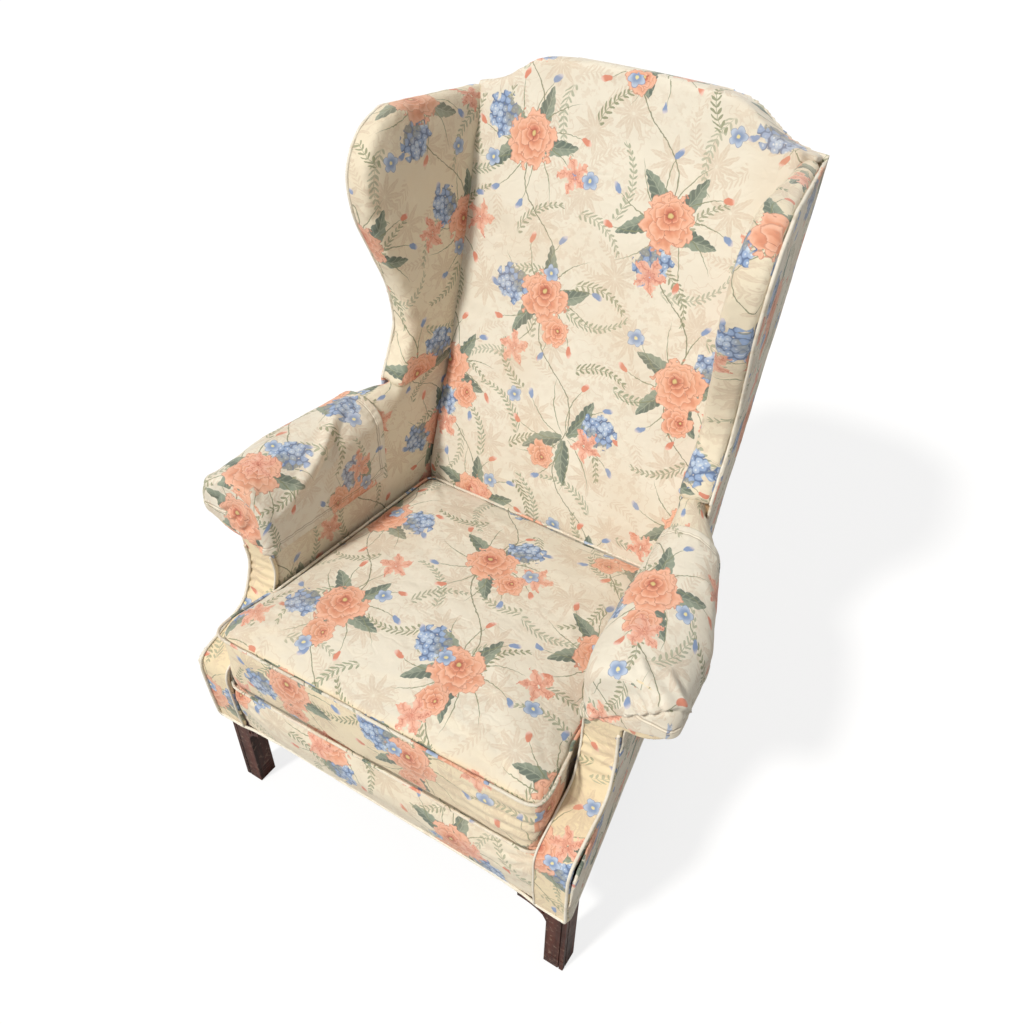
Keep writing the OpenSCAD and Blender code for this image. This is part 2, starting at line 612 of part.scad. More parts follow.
frame_front = board_inset + post_t;              // front of the back frame, below the outside back
pad_back = frame_front + 2 * webbing_t + hessian_t;
module back_webbing() color(jute) at_row() on_back() {
  low = lower_rail_v + 8;
  high = post_top_v + 34;
  for (x = spring_x) back_slab(frame_front + webbing_t, webbing_t)
    translate([x - webbing_w / 2, low]) square([webbing_w, high - low]);
  for (f = [0.2, 0.42, 0.64, 0.86]) {
    v = low + f * (high - low);
    half = back_half(v) - 16;
    back_slab(frame_front, webbing_t) translate([-half, v - webbing_w / 2]) square([2 * half, webbing_w]);
  }
}
module back_hessian() color(jute) at_row() on_back() back_slab(frame_front + 2 * webbing_t, hessian_t)
  polygon([
    [-(back_half(lower_rail_v) - 34), lower_rail_v + 4], [back_half(lower_rail_v) - 34, lower_rail_v + 4],
    [back_half(post_top_v) - 34, post_top_v + 36], [-(back_half(post_top_v) - 34), post_top_v + 36]
  ]);

// Room in front of the inside back
module in_front_of_back() {
  translate([-far / 2, inside_back_y - far, -1]) cube([far, far, far]);
  translate([0, inside_back_y, recline_z]) rotate([-back_recline, 0, 0])
    translate([-far / 2, -far, 0]) cube([far, far, far]);
}
module beside_back() both() translate([inner_half, side_y, 0]) rotate([0, 0, inner_yaw]) {
  cube([far, far, wing_base_z]);
  translate([0, 0, wing_base_z]) rotate([0, wing_lean, 0]) cube([far, far, far]);
}
module inside_back_pad() color(chintz) at_row() {
  difference() {
    on_back() back_slab(pad_back, 150)
      polygon(crest_outline(0, back_half(shoulder_v), back_v(deck_z) - 30));
    in_front_of_back();
    beside_back();
    slice(0, deck_z + 1);
  }
  on_back() back_slab(skin_t + 0.5, pad_back - skin_t) difference() {
    polygon(crest_outline(0, back_half(shoulder_v) - skin_t - 1, shoulder_v - crest_pad - 1));
    polygon(crest_outline(crest_pad, far / 4, -50));
  }
}

module outside_back_panel() color(chintz_deep) at_row() on_back() back_slab(0, skin_t)
  polygon(concat(
    [[-back_half(0), 0], [back_half(0), 0], [back_half(shoulder_v), top_v - shoulder_drop * 0.97]],
    backwards(crest_line(0, back_half(shoulder_v) - 4)),
    [for (p = crest_line(0, back_half(shoulder_v) - 4)) if (p[0] > 0) [-p[0], p[1]]],
    [[-back_half(shoulder_v), top_v - shoulder_drop * 0.97]]));

// ---------------------------------------------------------------- wing upholstery

function wing_outline(pad) = side_points(concat(
  pad == 0 ? wing_front : [for (p = shifted(wing_front, pad)) if (p[1] > wing_base_z) p],
  [wing_top_back - [0, pad], [wing_top_back[0], wing_base_z - 60], [wing_front[0][0] + pad, wing_base_z - 60]]
));
wing_pad_reach = 70;             // deeper than the wing, which inside_wings() cuts to its thickness
module inside_wing_pad() difference() {
  on_side() side_slab(wing_board_inset, wing_pad_reach) polygon(wing_outline(0));
  on_side() side_slab(0, wing_board_inset + wing_board_t) polygon(wing_outline(wing_edge_pad));
  wing_post();
  inside_wings();
  behind(pad_back + 0.6);
  slice(0, wing_base_z);
}
module left_inside_wing_pad() color(chintz) at_row() left() inside_wing_pad();
module right_inside_wing_pad() color(chintz) at_row() inside_wing_pad();

outside_seam_z = wing_base_z - 40;               // seam between the outside arm and the outside wing
module outside_wing_panel() difference() {
  on_side() side_slab(0, skin_t) polygon(wing_outline(0));
  behind(skin_t + 0.5);
  slice(0, outside_seam_z);
}
module left_outside_wing_panel() color(chintz_deep) at_row() left() outside_wing_panel();
module right_outside_wing_panel() color(chintz_deep) at_row() outside_wing_panel();

wing_welt_off = welt_r + 0.15;   // the welt lies against the edge of the wing
wing_welt_path = [for (p = concat(shifted(wing_front, -wing_welt_off), [wing_top_back + [0, wing_welt_off]]))
  [-skin_t, side_u(p[0], p[1]), side_v(p[1])]];
module wing_welt() difference() {
  on_side() tube(wing_welt_path, welt_r, 8, [1, 0, 0]);
  behind(pad_back + 0.5);
}
module left_wing_welt() color(welt_white) at_row() left() wing_welt();
module right_wing_welt() color(welt_white) at_row() wing_welt();

// ---------------------------------------------------------------- arm upholstery

// One round slice of the arm roll, grown all round by g
module roll_slice(s, g, drop = 0) {
  half_x = (s[1] - inner_x(s[0])) / 2 + g;
  translate([(s[1] + inner_x(s[0])) / 2, s[0], s[2] - drop]) rotate([90, 0, 0])
    scale([half_x / (s[3] + g), 1, 1]) cylinder(r = s[3] + g, h = 0.2, center = true, $fn = 36);
}
module roll_body(g) hull() for (s = roll_stations) roll_slice(s, g);
module arm_roll() difference() {
  roll_body(0);
  arm_rail();
  arm_stump();
  translate([0, stump_back_y, 0]) inside_arms();
}
module left_arm_roll() color(chintz) at_row() left() arm_roll();
module right_arm_roll() color(chintz) at_row() arm_roll();

// Side of the arm walls, from the front edge up to the middle of the roll
arm_wall = concat(
  [for (p = shifted(front_edge, front_panel_t + 0.4)) if (p[1] < scroll_low - 2) p],
  [for (r = roll_stations) [r[0] + 2, r[2]]]);
module inside_arm_panel() difference() {
  intersection() {
    translate([inner_half, side_y, 0]) rotate([0, 0, inner_yaw])
      translate([0, -side_y - 20, 0]) cube([arm_pad_t, far, far]);
    across(0, seat_front_w) polygon(concat(
      arm_wall, [[roll_back_y + 2, wing_base_z - 1], [far / 2, wing_base_z - 1], [far / 2, rail_z]]));
  }
  on_side() side_slab(-100, 100 + board_inset + 2) translate([-far, -far]) square(2 * far);
  roll_body(0.2);
  arm_rail();
  arm_stump();
  wing_post();
  behind(pad_back);
  slice(0, rail_top + hessian_t);
}
module left_inside_arm_panel() color(chintz) at_row() left() inside_arm_panel();
module right_inside_arm_panel() color(chintz) at_row() inside_arm_panel();

module outside_arm_panel() difference() {
  on_side() side_slab(0, skin_t) polygon(side_points(concat(
    arm_wall, [[far / 2, outside_seam_z], [far / 2, rail_z]])));
  roll_body(0.2);
  arm_front_panel();
  behind(skin_t + 0.5);
  slice(outside_seam_z - 0.2, far);
}
module left_outside_arm_panel() color(chintz_deep) at_row() left() outside_arm_panel();
module right_outside_arm_panel() color(chintz_deep) at_row() outside_arm_panel();

// The welted strip that sweeps from the rail up to the scroll
neck_w = 58;
strip_front = [
  [border_half, rail_z], [border_half, shelf_z], [inner_x(scroll_y), neck_z],
  [inner_x(scroll_y) + 2, scroll_low + 8], [inner_x(scroll_y) + neck_w, scroll_low + 8],
  [inner_x(scroll_y) + neck_w, neck_z], [seat_front_w / 2 + 1, shelf_z], [seat_front_w / 2, rail_z]
];
module arm_front_panel() {
  intersection() {
    across(border_half - 20, seat_front_w / 2 + 20)
      polygon(concat(front_edge, backwards(shifted(front_edge, front_panel_t))));
    translate([0, far / 2, 0]) rotate([90, 0, 0]) linear_extrude(far) polygon(strip_front);
  }
  translate([inner_x(scroll_y) + roll_half_w, scroll_y + front_panel_t, roll_axis_z]) rotate([90, 0, 0])
    linear_extrude(front_panel_t)
      polygon([for (a = [0 : 7.5 : 352.5]) [roll_half_w * cos(a), roll_half_h * sin(a)]]);
}
module left_arm_front_panel() color(chintz) at_row() left() arm_front_panel();
module right_arm_front_panel() color(chintz) at_row() arm_front_panel();

function strip_edge(z, inner) = inner
  ? lookup(z, [for (i = [0 : 3]) [strip_front[i][1] + i * 0.01, strip_front[i][0]]])
  : lookup(z, [for (i = [7 : -1 : 4]) [strip_front[i][1] + (7 - i) * 0.01, strip_front[i][0]]]);
welt_line = [for (p = shifted(front_edge, -welt_r)) if (p[1] < sleeve_hem_z - 8) p];
module arm_front_welts() for (inner = [true, false])
  tube([for (p = welt_line) [strip_edge(p[1], inner) + (inner ? welt_r : -welt_r), p[0], p[1]]],
    welt_r, 8, [1, 0, 0]);
module left_arm_front_welts() color(welt_white) at_row() left() arm_front_welts();
module right_arm_front_welts() color(welt_white) at_row() arm_front_welts();

// Welt under the lower edge of the upholstery, from the rear corner round to the front middle
welt_z = rail_z - welt_r;
front_corner_y = front_edge[0][0] + 2;
welt_half = [
  [back_half(0) - 2 * welt_r - 3, back_y - 0.6], [back_half(0) - welt_r + 0.5, back_y - 2 * welt_r],
  [leg_x + welt_r + 0.3, leg_back_y + 4], [leg_x + welt_r + 0.3, front_corner_y + 6],
  [leg_x + welt_r - 6, front_corner_y], [inner_half, leg_y - 9], [inner_half - 80, leg_y - welt_r - 0.5]
];
module bottom_welt() color(welt_white) at_row()
  tube([for (p = concat(welt_half, mirrored(welt_half))) [p[0], p[1], welt_z]], welt_r, 8, [0, 0, 1], true);

// ---------------------------------------------------------------- cushion

cushion_z = deck_z + cushion_gap;
sleeve_wall = sleeve_gap + sleeve_t;
sleeve_back_y = inside_back_y - sleeve_short;    // rear hem of an arm cover
welt_out = 1.5 * welt_r;                          // how far the cushion's welts stand out
seat_clear = 0.8;                                // clearance around the cushion
cushion_back = inside_back_y - welt_out - seat_clear;
ear_back = scroll_y - 14;                        // the cushion is widest in front of the arms
function cushion_side(y) = inner_x(y) - welt_out - seat_clear - (y < ear_back ? 0 : sleeve_wall);
cushion_r = cushion_corner_r;
// Plan of half the cushion, from the front middle round to the back middle
front_half = cushion_side(cushion_y + cushion_r);
corner_arc = [for (a = [0 : 15 : 90])
  [front_half - cushion_r + cushion_r * sin(a), cushion_y + cushion_r - cushion_r * cos(a)]];
back_r = 16;
back_arc = [for (a = [0 : 30 : 90])
  [cushion_side(cushion_back) - back_r + back_r * cos(a), cushion_back - back_r + back_r * sin(a)]];
cushion_half = concat(corner_arc, [[cushion_side(ear_back - 6) , ear_back - 6]],
  [[cushion_side(ear_back + 6), ear_back + 6]], back_arc);
cushion_mid = [0, (cushion_y + cushion_back) / 2];
cushion_plan = concat(cushion_half, mirrored(cushion_half));
// The plan drawn in by d on every side
half_depth = cushion_mid[1] - cushion_y;
function drawn_in(d) = [for (p = cushion_plan)
  [p[0] * (1 - d / front_half), cushion_mid[1] + (p[1] - cushion_mid[1]) * (1 - d / half_depth)]];
cushion_top_z = cushion_z + boxing_h;
// Levels as [how far the plan is drawn in, height], inset by d
function cushion_levels(d) = [
  [d, cushion_z + d], [d, cushion_top_z - d],
  [d + 34, cushion_top_z + 0.72 * crown_h - d], [d + 90, cushion_top_z + crown_h - d]
];
module cushion_body(d)
  loft([for (s = cushion_levels(d)) [for (p = drawn_in(s[0])) [p[0], p[1], s[1]]]]);
module cushion_core() color(felt) at_row() cushion_body(cover_t);
// The cover is open along its zip, in the rear boxing
module cushion_cover() color(chintz) at_row() difference() {
  cushion_body(0);
  cushion_body(cover_t);
  translate([-zip_l / 2, cushion_back - 2 * cover_t, cushion_z + boxing_h / 2])
    cube([zip_l, 4 * cover_t, 1.5]);
}
// Welts stand in the seams between the boxing and the two faces
function welt_loop(z) = [for (p = cushion_plan) [
  p[0] * (1 + welt_r / 2 / front_half),
  cushion_mid[1] + (p[1] - cushion_mid[1]) * (1 + welt_r / 2 / half_depth), z]];
module cushion_welts() color(welt_white) at_row() difference() {
  union() for (z = [cushion_z + welt_r, cushion_top_z - 1])
    tube(welt_loop(z), welt_r, 8, [0, 0, 1], true);
  cushion_body(0);
}

// ---------------------------------------------------------------- arm covers

// The arm roll grown by g and dropped straight down, so that the cover lifts off
module sleeve_form(g, front, drop) hull() {
  for (s = roll_stations) roll_slice(s, g);
  for (s = roll_stations) roll_slice(s, g, drop);
  translate([inner_x(front) - inner_x(roll_y), front - roll_y, 0]) {
    roll_slice(roll_stations[0], g);
    roll_slice(roll_stations[0], g, drop);
  }
}
module arm_cover() difference() {
  sleeve_form(sleeve_wall, scroll_y - sleeve_wall, 120);
  sleeve_form(sleeve_gap, scroll_y - sleeve_gap, 160);
  translate([0, sleeve_back_y, 0]) cube([far, far, far]);
  translate([inner_x(scroll_y), 0, sleeve_hem_z]) rotate([0, -sleeve_slope, 0])
    translate([-far, -far, -far]) cube([2 * far, 2 * far, far]);
}
module left_arm_cover() color(chintz) at_row() left() arm_cover();
module right_arm_cover() color(chintz) at_row() arm_cover();

// ---------------------------------------------------------------- nodes

front_rail();
back_rail();
left_side_rail();
right_side_rail();
corner_blocks();
corner_block_screws();
left_front_leg();
right_front_leg();
left_leg_bracket();
right_leg_bracket();
left_rear_leg();
right_rear_leg();
left_back_post();
right_back_post();
crest_rail();
lower_back_rail();
left_arm_stump();
right_arm_stump();
left_arm_rail();
right_arm_rail();
left_wing_post();
right_wing_post();
left_wing_rail();
right_wing_rail();
seat_webbing();
seat_springs();
spring_hessian();
deck_pad();
front_border();
dust_cover();
back_webbing();
back_hessian();
inside_back_pad();
outside_back_panel();
left_inside_wing_pad();
right_inside_wing_pad();
left_outside_wing_panel();
right_outside_wing_panel();
left_arm_roll();
right_arm_roll();
left_inside_arm_panel();
right_inside_arm_panel();
left_outside_arm_panel();
right_outside_arm_panel();
left_arm_front_panel();
right_arm_front_panel();
left_arm_front_welts();
right_arm_front_welts();
left_wing_welt();
right_wing_welt();
bottom_welt();
cushion_core();
cushion_cover();
cushion_welts();
left_arm_cover();
right_arm_cover();
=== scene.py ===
"""An upholstered wing chair, dressed over its frame: printed cloth, welts, loose cushion and arm covers."""
import math

import bmesh
import bpy
import numpy as np
from mathutils import Matrix, Vector, noise


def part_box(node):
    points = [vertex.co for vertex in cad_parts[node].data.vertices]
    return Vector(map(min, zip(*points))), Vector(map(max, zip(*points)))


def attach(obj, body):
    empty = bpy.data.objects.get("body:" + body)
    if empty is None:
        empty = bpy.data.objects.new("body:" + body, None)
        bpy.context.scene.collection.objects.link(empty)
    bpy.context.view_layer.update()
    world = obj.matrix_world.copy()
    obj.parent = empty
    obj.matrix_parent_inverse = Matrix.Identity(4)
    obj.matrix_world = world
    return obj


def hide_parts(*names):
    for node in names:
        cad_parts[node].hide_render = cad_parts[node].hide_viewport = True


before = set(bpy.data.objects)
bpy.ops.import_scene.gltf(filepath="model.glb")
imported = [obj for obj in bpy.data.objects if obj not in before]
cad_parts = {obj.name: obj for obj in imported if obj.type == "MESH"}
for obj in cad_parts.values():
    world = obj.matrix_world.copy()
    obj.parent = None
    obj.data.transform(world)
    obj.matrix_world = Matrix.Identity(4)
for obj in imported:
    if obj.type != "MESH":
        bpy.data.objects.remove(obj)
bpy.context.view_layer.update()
bpy.ops.object.select_all(action="DESELECT")
scene = bpy.context.scene
scene.view_settings.view_transform = "Standard"

# ---------------------------------------------------------------- camera
camera_data = bpy.data.cameras.new("camera")
camera = bpy.data.objects.new("camera", camera_data)
scene.collection.objects.link(camera)
camera_data.sensor_width = 36
camera_data.lens = 33.25
camera_data.shift_x = -0.0238
camera_data.shift_y = 0.0041
camera.matrix_world = Matrix((
    (0.85048, -0.36347, 0.38023, 0.6113),
    (0.52538, 0.55176, -0.64771, -0.9530),
    (0.02562, 0.75063, 0.66022, 1.5277),
    (0, 0, 0, 1),
))
scene.camera = camera


# ---------------------------------------------------------------- printed cloth
class Knot:
    """One value in a material, with plain arithmetic on it."""

    def __init__(self, cloth, socket):
        self.cloth, self.socket = cloth, socket

    def _do(self, kind, *others):
        node = self.cloth.make("ShaderNodeMath", operation=kind)
        for slot, value in enumerate((self, *others)):
            self.cloth.feed(node.inputs[slot], value)
        return Knot(self.cloth, node.outputs[0])

    def __add__(self, other):
        return self._do("ADD", other)

    def __sub__(self, other):
        return self._do("SUBTRACT", other)

    def __mul__(self, other):
        return self._do("MULTIPLY", other)

    def __truediv__(self, other):
        return self._do("DIVIDE", other)

    __radd__, __rmul__ = __add__, __mul__

    def __rsub__(self, other):
        return (self * -1.0) + other

    def sin(self):
        return self._do("SINE")

    def cos(self):
        return self._do("COSINE")

    def abs(self):
        return self._do("ABSOLUTE")

    def floor(self):
        return self._do("FLOOR")

    def fract(self):
        return self._do("FRACT")

    def root(self):
        return self._do("SQRT")

    def power(self, n):
        return self._do("POWER", n)

    def most(self, other):
        return self._do("MAXIMUM", other)

    def over(self, other):
        return self._do("GREATER_THAN", other)

    def turned(self, other):
        return self._do("ARCTAN2", other)


class Cloth:
    """Builds a material's nodes for a printed cloth."""

    def __init__(self, tree):
        self.nodes, self.links = tree.nodes, tree.links

    def make(self, kind, **settings):
        node = self.nodes.new(kind)
        for name, value in settings.items():
            setattr(node, name, value)
        return node

    def feed(self, socket, value):
        """Sets an input to a plain number, or joins a value to it."""
        if isinstance(value, Knot):
            self.links.new(value.socket, socket)
        else:
            socket.default_value = value

    def point(self, x, y):
        node = self.make("ShaderNodeCombineXYZ")
        for slot, value in enumerate((x, y)):
            self.feed(node.inputs[slot], value)
        return node.outputs[0]

    def split(self, socket):
        node = self.make("ShaderNodeSeparateXYZ")
        self.links.new(socket, node.inputs[0])
        return [Knot(self, o) for o in node.outputs[:3]]

    def step(self, value, low, high):
        """0 at low, 1 at high, smooth between them; high may be the smaller."""
        node = self.make("ShaderNodeMapRange", interpolation_type="SMOOTHSTEP")
        value_in, low_in, high_in, low_out, high_out = node.inputs[:5]
        self.feed(value_in, value)
        if not isinstance(low, Knot) and not isinstance(high, Knot) and low > high:
            low, high = high, low
            low_out.default_value, high_out.default_value = 1.0, 0.0
        self.feed(low_in, low)
        self.feed(high_in, high)
        return Knot(self, node.outputs[0])

    def noise(self, where, scale, detail=2.0, rough=0.5, dims="2D"):
        node = self.make("ShaderNodeTexNoise", noise_dimensions=dims)
        self.links.new(where, node.inputs["Vector"])
        node.inputs["Scale"].default_value = scale
        node.inputs["Detail"].default_value = detail
        node.inputs["Roughness"].default_value = rough
        return Knot(self, node.outputs[0])

    def colour_parts(self, socket):
        node = self.make("ShaderNodeSeparateColor")
        self.links.new(socket, node.inputs[0])
        return [Knot(self, o) for o in node.outputs[:3]]

    def cells(self, where, scale, spread):
        node = self.make("ShaderNodeTexVoronoi", voronoi_dimensions="2D", feature="F1")
        self.links.new(where, node.inputs["Vector"])
        node.inputs["Scale"].default_value = scale
        node.inputs["Randomness"].default_value = spread
        return node

    def dye(self, under, over, share):
        """The colour over, printed on the colour under where share is 1."""
        node = self.make("ShaderNodeMix", data_type="RGBA")
        self.feed(node.inputs[0], share)
        for slot, tone in ((6, under), (7, over)):
            if isinstance(tone, tuple):
                node.inputs[slot].default_value = (*tone, 1.0)
            else:
                self.links.new(tone, node.inputs[slot])
        return node.outputs[2]

    def scatter(self, x, y, cell, turn, spread, seed):
        """Places in a turned, shaken grid: local x and y, and two random values."""
        c, s = math.cos(turn), math.sin(turn)
        gx = x * c + y * s + seed * 0.731
        gy = y * c - x * s + seed * 0.377
        node = self.cells(self.point(gx, gy), 1.0 / cell, spread)
        px, py, _ = self.split(node.outputs["Position"])
        first, second, _ = self.colour_parts(node.outputs["Color"])
        return gx - px, gy - py, first, second

    def spun(self, x, y, angle):
        c, s = angle.cos(), angle.sin()
        return x * c + y * s, y * c - x * s


FULL_TURN = 6.28  # a random share of this turns a motif any way
SHARP = 0.0004  # half the soft edge of a printed shape, in metres

# the dyes of the print: each flower's are base, body, rim and line
CORAL = ((0.50, 0.145, 0.085), (0.76, 0.335, 0.205), (0.87, 0.51, 0.36), (0.40, 0.11, 0.075))
DEEP_CORAL = ((0.42, 0.11, 0.07), (0.66, 0.24, 0.15), (0.82, 0.42, 0.28), (0.34, 0.085, 0.06))
HEART_GOLD = (0.70, 0.55, 0.24)
# the second of these is a painted warm sunlit tint for the ground, not a dye of the print
IVORY, SUNLIT_GOLD = (0.80, 0.745, 0.625), (0.83, 0.70, 0.47)
SHADOW_BUFF = (0.60, 0.45, 0.32)
OLIVE, GREY_OLIVE = (0.27, 0.29, 0.17), (0.33, 0.36, 0.24)
VINE_GREEN, STALK_GREEN = (0.20, 0.21, 0.12), (0.24, 0.26, 0.15)
LEAF_DARK, LEAF_LIGHT, LEAF_VEIN = (0.115, 0.155, 0.125), (0.26, 0.31, 0.24), (0.38, 0.42, 0.32)
BUD_CORAL, BUD_BLUE, BUD_TIP = (0.70, 0.27, 0.18), (0.25, 0.34, 0.54), (0.95, 0.80, 0.70)
FLORET_BLUE, FLORET_PALE = (0.26, 0.37, 0.59), (0.50, 0.60, 0.74)
FLORET_UNDER, FLORET_GAP, FLORET_EYE = (0.27, 0.27, 0.22), (0.13, 0.19, 0.33), (0.68, 0.73, 0.78)
LILY_BODY, LILY_VEIN, LILY_RIM = (0.82, 0.42, 0.30), (0.58, 0.18, 0.13), (0.88, 0.60, 0.48)
BLUE_BODY, BLUE_RIM, BLUE_EYE = (0.24, 0.33, 0.52), (0.49, 0.58, 0.72), (0.80, 0.70, 0.35)
BLUE_LINE = (0.13, 0.18, 0.36)

# the bouquets' half-drop lattice: width of a column, rise of a row, and turn
COLUMN, RISE, LATTICE_TURN = 0.205, 0.235, 0.33


def petals(k, x, y, size, count, angle, ruffle, tones):
    """One layer of ruffled petals: (share, colour, distance from the middle)."""
    base, body, edge, dark = tones
    r = (x * x + y * y).root()
    a = x.turned(y) * (count / 2.0) + angle + ruffle * 1.5
    fold = a.cos().abs()
    rim = (fold.power(0.5) * 0.24 + ruffle * 0.55 + 0.80) * size
    inward = r / rim
    share = k.step(r - rim, SHARP, -0.0005)
    colour = k.dye(base, body, k.step(inward, 0.25, 0.7))
    colour = k.dye(colour, edge, k.step(inward, 0.62, 0.97))
    veins = ((a * (23.0 / count)).sin() * 0.5 + 0.5) * k.step(inward, 0.9, 0.35)
    colour = k.dye(colour, base, veins * 0.35)
    crease = k.step(fold * r, 0.0016, SHARP) * k.step(inward, 0.25, 0.6)
    line = k.step(inward, 0.93, 0.985) * 0.7
    return share, k.dye(colour, dark, crease.most(line) * 0.75), r


def bloom(k, under, x, y, size, angle, ruffle, keep):
    """A full flower of four layers, each set a little higher than the one below."""
    layers = ((1.0, 5.0, 0.0, 0.0, CORAL), (0.76, 5.0, 0.10, 1.9, CORAL),
              (0.53, 4.0, 0.20, 0.8, CORAL), (0.30, 3.0, 0.25, 2.6, DEEP_CORAL))
    for scale, count, lift, spin, tones in layers:
        share, colour, r = petals(k, x, y - lift * size, size * scale, count, angle + spin, ruffle, tones)
        under = k.dye(under, colour, share * keep)
    heart = k.step(r, size * 0.12, size * 0.05)
    return k.dye(under, HEART_GOLD, heart * keep)


def leaf_fan(k, x, y, length, count, angle, width, bend=0.0):
    """Leaves fanned round a centre: (share, vein share, leaf's number, distance from its middle line)."""
    r = (x * x + y * y).root()
    a = x.turned(y) + angle + r * bend
    turn = a * (count / (2 * math.pi))
    local = (turn.fract() - 0.5) * (2 * math.pi / count)
    side = local * r
    f = r / length
    body = (f * math.pi).sin().most(0.0).power(0.75) * width
    body = body * ((r * 260.0).sin().abs() * 0.22 + 0.86)
    share = k.step(side.abs() - body, SHARP, -SHARP) * f.over(0.06) * (1.0 - f.over(1.0))
    vein = k.step(side.abs(), 0.0009, 0.0003)
    ribs = k.step(((r - side.abs() * 1.1) * 520.0).sin(), 0.55, 0.9)
    return share, vein.most(ribs * 0.55), turn.floor(), side


def sprig(k, x, y, length, pitch, leaf_l, leaf_w, curve):
    """A thin stem along y with pairs of leaves: share."""
    xs = x - y * y * curve
    inside = k.step(y.abs(), length, length - 0.004)
    taper = 1.0 - k.step(y, -length, length) * 0.5
    stem = k.step(xs.abs(), 0.0007, 0.0002) * inside
    yy = y - xs.abs() * 0.9
    t = ((yy / pitch).fract() - 0.5) * pitch
    u = xs.abs() / taper - leaf_l * 0.5
    d = (u * (2.0 / leaf_l)).power(2.0) + (t / leaf_w * 2.0).power(2.0)
    return stem.most(k.step(d, 1.05, 0.8) * inside)


def pale_ground(k, x, y, place):
    """The ivory ground, warmed by a painted sunlit tint where a piece or face is marked for it, with shadow
    flowers, ferns and a mottle.
    """
    painted_sun_tint = Knot(k, k.make("ShaderNodeAttribute", attribute_name="painted_sun_tint").outputs["Fac"])
    # painted sunlight: a warmer ground where the points are marked as facing the light
    ground = k.dye(IVORY, SUNLIT_GOLD, painted_sun_tint)
    lx, ly, spin, _ = k.scatter(x, y, 0.105, 0.5, 0.45, 3.0)
    share, vein, _, _ = leaf_fan(k, lx, ly, 0.036, 9.0, spin * FULL_TURN, 0.0045)
    pale = share * (1.0 - vein * 0.5)
    lx, ly, spin, _ = k.scatter(x, y, 0.085, 1.2, 0.5, 8.0)
    sx, sy = k.spun(lx, ly, spin * FULL_TURN)
    pale = pale.most(sprig(k, sx, sy, 0.036, 0.0075, 0.011, 0.004, 9.0) * 0.9)
    mottle = k.step(k.noise(place, 74.0, 4.0, 0.62), 0.50, 0.60) * k.step(k.noise(place, 9.0, 1.0), 0.44, 0.60)
    brushed = (k.step((k.noise(place, 34.0, 2.0) - 0.5).abs(), 0.022, 0.008)
               * k.step(k.noise(place, 7.0, 1.0), 0.56, 0.46))
    return k.dye(ground, SHADOW_BUFF, pale.most(mottle * 0.62).most(brushed * 0.7) * 0.44)


def olive_sprigs(k, colour, x, y):
    for seed, turn, cell, tone, curve in ((11.0, 0.2, 0.13, OLIVE, 7.0), (17.0, 0.9, 0.155, GREY_OLIVE, -7.0)):
        lx, ly, spin, strength = k.scatter(x, y, cell, turn, 0.55, seed)
        sx, sy = k.spun(lx, ly, spin * FULL_TURN)
        twig = sprig(k, sx, sy, cell * 0.36, 0.0085, 0.010, 0.0046, curve)
        colour = k.dye(colour, tone, twig * (strength * 0.35 + 0.6))
    return colour


def buds(k, colour, bx, by, q1, q2):
    """Buds and small bells on thin curved stalks, fanned round a bouquet."""
    count, reach, bend = 11.0, 0.094, -5.0
    stalks, _, _, _ = leaf_fan(k, bx, by, 0.098, count, q1 * FULL_TURN, 0.0008, bend)
    colour = k.dye(colour, STALK_GREEN, stalks * 0.9)
    r = (bx * bx + by * by).root()
    a = bx.turned(by) + q1 * FULL_TURN + r * bend
    t = a * (count / (2 * math.pi))
    local = (t.fract() - 0.5) * (2 * math.pi / count)
    kind = (t.floor() * 0.381 + q2).fract()
    du, dv = r - reach, local * reach
    d = ((du / 0.0085).power(2.0) + (dv / 0.0052).power(2.0)).root()
    tone = k.dye(BUD_CORAL, BUD_BLUE, kind.over(0.68))
    tone = k.dye(tone, BUD_TIP, k.step(du + (local * 900.0).sin() * 0.001, 0.002, 0.007) * 0.6)
    return k.dye(colour, tone, k.step(d, 1.05, 0.85) * kind.over(0.35))


def blue_cluster(k, colour, bx, by, spin):
    """Many small florets in a loose ball, with leaves showing through its lower side."""
    lx, ly = k.spun(bx, by, spin * FULL_TURN)
    cx, cy = lx - 0.060, ly - 0.016
    ball = (cx * cx + cy * cy * 1.35).root()
    florets = k.cells(k.point(cx, cy), 105.0, 0.75)
    far = Knot(k, florets.outputs["Distance"])
    odd, _, _ = k.colour_parts(florets.outputs["Color"])
    low_side = k.step(cy + cx * 0.4 + (odd - 0.5) * 0.02, 0.006, -0.014)
    tone = k.dye(FLORET_BLUE, FLORET_PALE, odd)
    tone = k.dye(tone, FLORET_UNDER, low_side * odd.over(0.35) * 0.85)
    tone = k.dye(FLORET_GAP, tone, k.step(far, 0.62, 0.42))
    tone = k.dye(tone, FLORET_EYE, k.step(far, 0.2, 0.08) * (1.0 - low_side * 0.8))
    loose = k.step(ball + (odd - 0.5) * 0.014, 0.0325, 0.0300) * k.step(far, 0.85, 0.7)
    return k.dye(colour, tone, loose)


